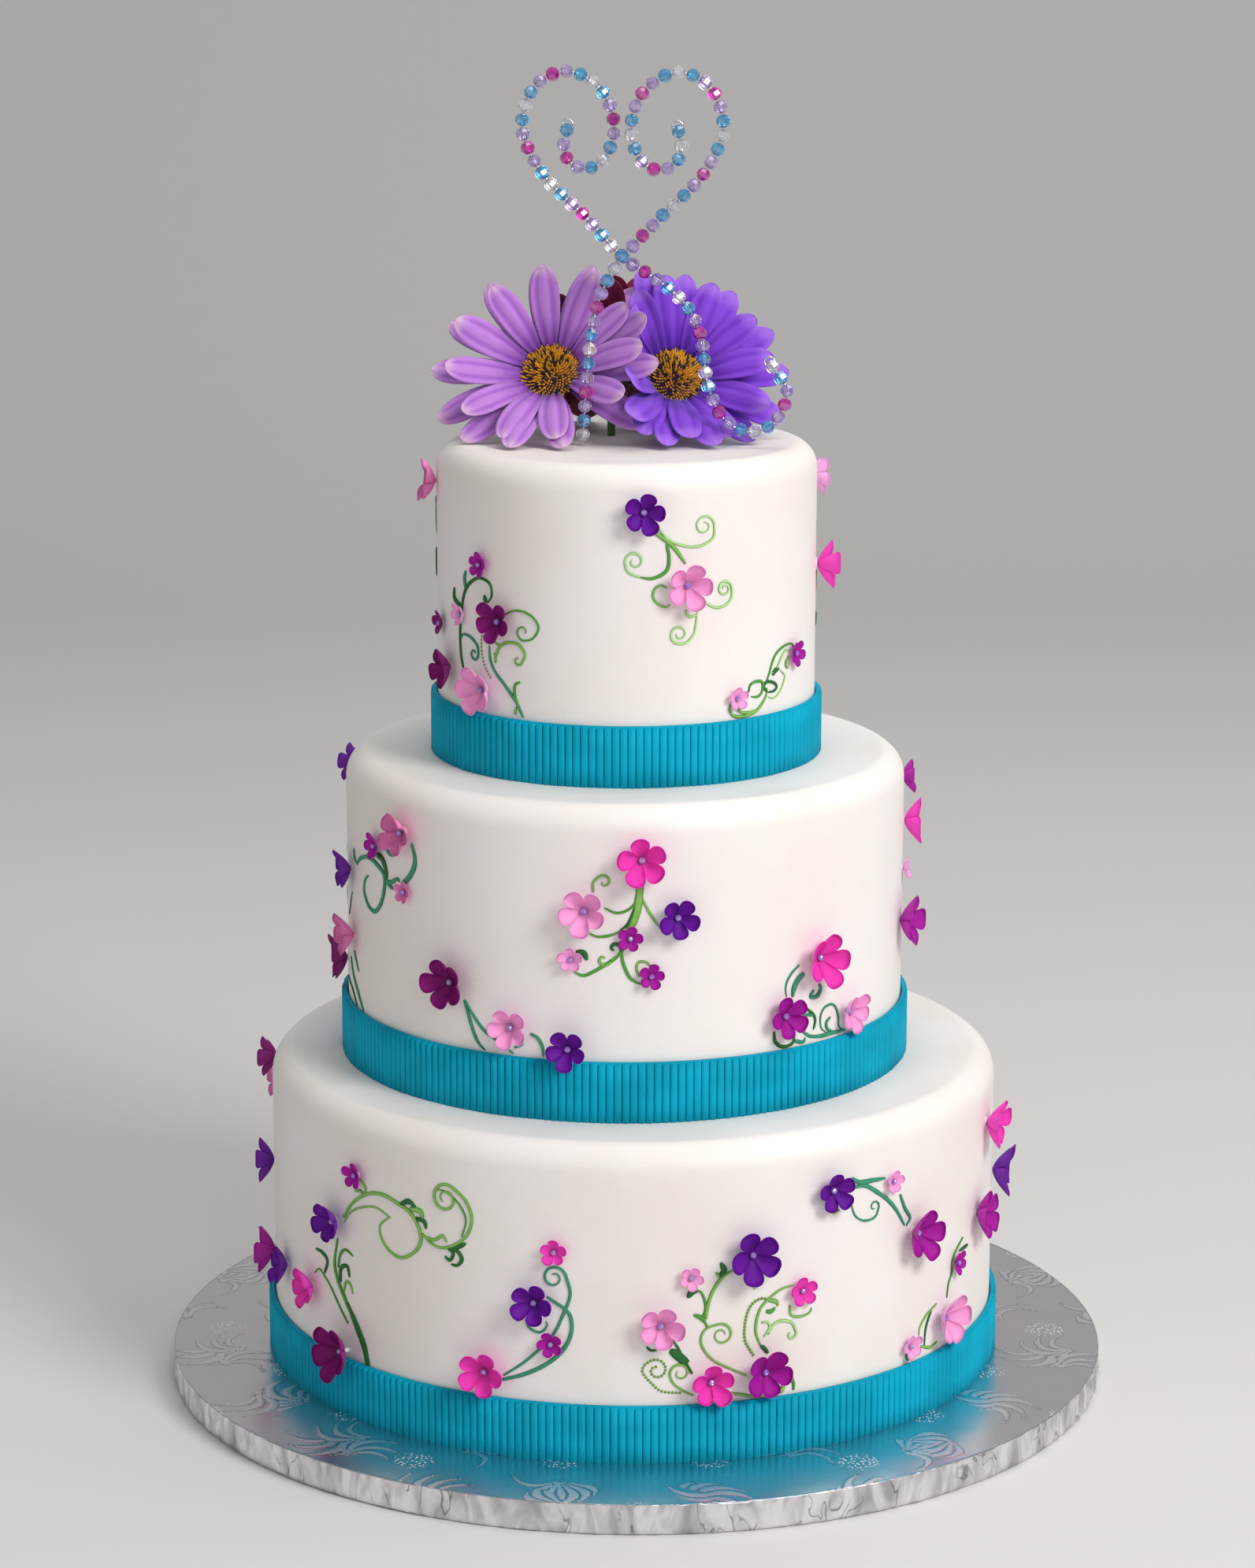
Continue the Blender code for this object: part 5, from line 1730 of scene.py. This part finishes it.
def wire_knot(name, across, up):
    """A wire's knot: in its plane above, and forward of it in front of the daisies."""
    part = min(1.0, max(0.0, (BEND_TOP - up) / BEND_HEIGHT))
    return Vector((across, -WIRE_BENDS[name] * part**2 * (3 - 2 * part), up))


def make_wire(name, sizes, bead_material, wire_material):
    """One bent wire with the beads strung on it, and an eyelet at each free end."""
    wall = wall_of("top")
    side = -0.5 if name == "front" else 0.5
    base = Vector((wall.centre, WIRE_PLANE + side * WIRE_SPACING, wall.top))
    knots = [base + wire_knot(name, across * MM, up * MM) for across, up in WIRE_KNOTS[name]]
    path = smooth_path(knots, WIRE_KNOT_STEPS)
    beads = spaced(path, BEAD_PITCH)
    strung = Sheaf()
    for index, spot in enumerate(beads):
        ahead = beads[min(index + 1, len(beads) - 1)] - beads[max(index - 1, 0)]
        strung.add_grain(
            spot, size=sizes.bead_radius * (1 + 0.03 * math.sin(index * 2.3)),
            flatness=BEAD_FLATNESS, facing=tuple(ahead.normalized()),
            tint=float(BEAD_ORDER[index % len(BEAD_ORDER)]),
        )
    maker = grain_maker("beads", bead_material, 8, 5, False)
    grow(strung, f"beads_{name}", maker, f"wire_{name}", slot="crystal")
    line = spaced(path, WIRE_STEP)
    whole = line + eyelet(line[-1], line[-3])
    if name == "back":
        whole = eyelet(line[0], line[2])[::-1] + whole
    else:
        whole = [line[0] - Vector((0, 0, 1)) * WIRE_DEPTH] + whole
    metal = Sheaf()
    tube(metal, whole, sizes.wire_radius)
    dress(metal.build(f"silver_wire_{name}", wire_material))


# Stage

def make_floor():
    """A pale floor that rises into a backdrop."""
    profile = [(FLOOR_FRONT, 0.0), (FLOOR_BACK, 0.0)]
    profile += [
        (FLOOR_BACK + BACKDROP_RADIUS * math.sin(a), BACKDROP_RADIUS * (1 - math.cos(a)))
        for a in (math.pi / 2 * n / BACKDROP_STEPS for n in range(1, BACKDROP_STEPS + 1))
    ]
    profile.append((FLOOR_BACK + BACKDROP_RADIUS, BACKDROP_TOP))
    points = [(x, y, z - FLOOR_CLEAR) for y, z in profile for x in (-FLOOR_HALF, FLOOR_HALF)]
    sheaf = Sheaf()
    sheaf.add(points, grid_faces(len(profile), 2))
    made = Finish("pale floor", Roughness=0.75, Base_Color=FLOOR_TONE)
    floor = sheaf.build("floor", made.material)


def add_lamp(name, place, size, power, tone):
    """A round lamp that shines at the cake."""
    lamp = bpy.data.lights.new(name, "AREA")
    lamp.shape = "DISK"
    lamp.size = size
    lamp.energy = power
    lamp.color = tone
    obj = bpy.data.objects.new(name, lamp)
    obj.location = place
    aim = Vector(LAMP_TARGET) - Vector(place)
    obj.rotation_euler = aim.to_track_quat("-Z", "Y").to_euler()
    bpy.context.scene.collection.objects.link(obj)


def make_camera():
    camera = bpy.data.cameras.new("camera")
    camera.sensor_width = 36.0
    camera.lens = CAMERA_LENS
    camera.clip_end = 50.0
    obj = bpy.data.objects.new("camera", camera)
    obj.matrix_world = (
        Matrix.Translation(CAMERA_PLACE)
        @ Matrix.Rotation(CAMERA_YAW, 4, "Z")
        @ Matrix.Rotation(math.pi / 2 + CAMERA_PITCH, 4, "X")
        @ Matrix.Rotation(CAMERA_ROLL, 4, "Z")
    )
    bpy.context.scene.collection.objects.link(obj)
    bpy.context.scene.camera = obj


# Operators

class Dresser:
    """What the operators share: the colours and sizes of the scene."""

    bl_options = {"REGISTER", "UNDO"}

    def settings(self, context):
        return context.scene.cake_colours, context.scene.cake_sizes


class CAKE_OT_board(Dresser, bpy.types.Operator):
    """Cover the round board with embossed silver foil"""

    bl_idname = "cake.board"
    bl_label = "Foil Board"

    def execute(self, context):
        _, sizes = self.settings(context)
        make_board(sizes)
        return {"FINISHED"}


class CAKE_OT_coverings(Dresser, bpy.types.Operator):
    """Cover the three tiers with smooth sugar paste"""

    bl_idname = "cake.coverings"
    bl_label = "Coverings"

    def execute(self, context):
        colours, _ = self.settings(context)
        material = covering_finish(colours)
        for tier in TIERS:
            make_covering(tier, material)
        return {"FINISHED"}


class CAKE_OT_ribbons(Dresser, bpy.types.Operator):
    """Lay a ribbed ribbon round the foot of each tier"""

    bl_idname = "cake.ribbons"
    bl_label = "Ribbons"

    def execute(self, context):
        colours, sizes = self.settings(context)
        material = ribbon_finish(colours)
        for tier in TIERS:
            make_ribbon(tier, sizes, material)
        return {"FINISHED"}


class CAKE_OT_vines(Dresser, bpy.types.Operator):
    """Paint the curling vines on the walls"""

    bl_idname = "cake.vines"
    bl_label = "Vines"

    def execute(self, context):
        colours, sizes = self.settings(context)
        paint, dots = vine_finish("vine paint"), vine_finish("dotted vine paint")
        for tier in TIERS:
            make_vines(tier, colours, sizes, paint, dots)
        return {"FINISHED"}


class CAKE_OT_blossoms(Dresser, bpy.types.Operator):
    """Stick the sugar blossoms, their pearls and dabs of icing to the walls"""

    bl_idname = "cake.blossoms"
    bl_label = "Blossoms"

    def execute(self, context):
        make_blossoms(*self.settings(context))
        return {"FINISHED"}


class CAKE_OT_daisies(Dresser, bpy.types.Operator):
    """Stand three silk daisies on the top tier"""

    bl_idname = "cake.daisies"
    bl_label = "Silk Daisies"

    def execute(self, context):
        colours, sizes = self.settings(context)
        discs = floret_finish(colours)
        green = Finish("stem", Roughness=0.5, Base_Color=STEM_GREEN).material
        for name in DAISIES:
            silk = silk_finish(name, tuple(getattr(colours, name)), *SILK_TIPS[name])
            make_daisy(name, sizes, silk, discs, green)
        return {"FINISHED"}


class CAKE_OT_wires(Dresser, bpy.types.Operator):
    """String the beads on the two bent wires of the heart"""

    bl_idname = "cake.wires"
    bl_label = "Beaded Wires"

    def execute(self, context):
        _, sizes = self.settings(context)
        beads, metal = bead_finish(), wire_finish()
        for name in WIRE_KNOTS:
            make_wire(name, sizes, beads, metal)
        return {"FINISHED"}


class CAKE_OT_stage(Dresser, bpy.types.Operator):
    """Set up the pale floor, the soft lamps and the camera"""

    bl_idname = "cake.stage"
    bl_label = "Stage"

    def execute(self, context):
        _, sizes = self.settings(context)
        make_floor()
        for name, (place, size, part, tone) in LAMPS.items():
            add_lamp(name, place, size, part * sizes.key_power, tone)
        world = bpy.data.worlds.new("surroundings")
        world.use_nodes = True
        background = world.node_tree.nodes["Background"]
        background.inputs["Color"].default_value = SURROUNDINGS
        background.inputs["Strength"].default_value = sizes.fill
        context.scene.world = world
        context.scene.view_settings.view_transform = "Standard"
        make_camera()
        return {"FINISHED"}


class CAKE_PT_panel(bpy.types.Panel):
    """Lists the pieces of the cake with their colours and sizes"""

    bl_idname = "CAKE_PT_panel"
    bl_label = "Wedding Cake"
    bl_space_type = "VIEW_3D"
    bl_region_type = "UI"
    bl_category = "Cake"

    def draw(self, context):
        for operator in OPERATORS:
            self.layout.operator(operator.bl_idname)
        for group in (context.scene.cake_colours, context.scene.cake_sizes):
            box = self.layout.box()
            for name in type(group).__annotations__:
                box.prop(group, name)


OPERATORS = (
    CAKE_OT_stage, CAKE_OT_board, CAKE_OT_coverings, CAKE_OT_ribbons, CAKE_OT_vines,
    CAKE_OT_blossoms, CAKE_OT_daisies, CAKE_OT_wires,
)
CLASSES = (CakeColours, CakeSizes, *OPERATORS, CAKE_PT_panel)


def register():
    for item in CLASSES:
        bpy.utils.register_class(item)
    bpy.types.Scene.cake_colours = bpy.props.PointerProperty(type=CakeColours)
    bpy.types.Scene.cake_sizes = bpy.props.PointerProperty(type=CakeSizes)


def unregister():
    del bpy.types.Scene.cake_sizes
    del bpy.types.Scene.cake_colours
    for item in reversed(CLASSES):
        bpy.utils.unregister_class(item)


def main():
    register()
    for operator in OPERATORS:
        group, name = operator.bl_idname.split(".")
        getattr(getattr(bpy.ops, group), name)()


if __name__ == "__main__":
    main()
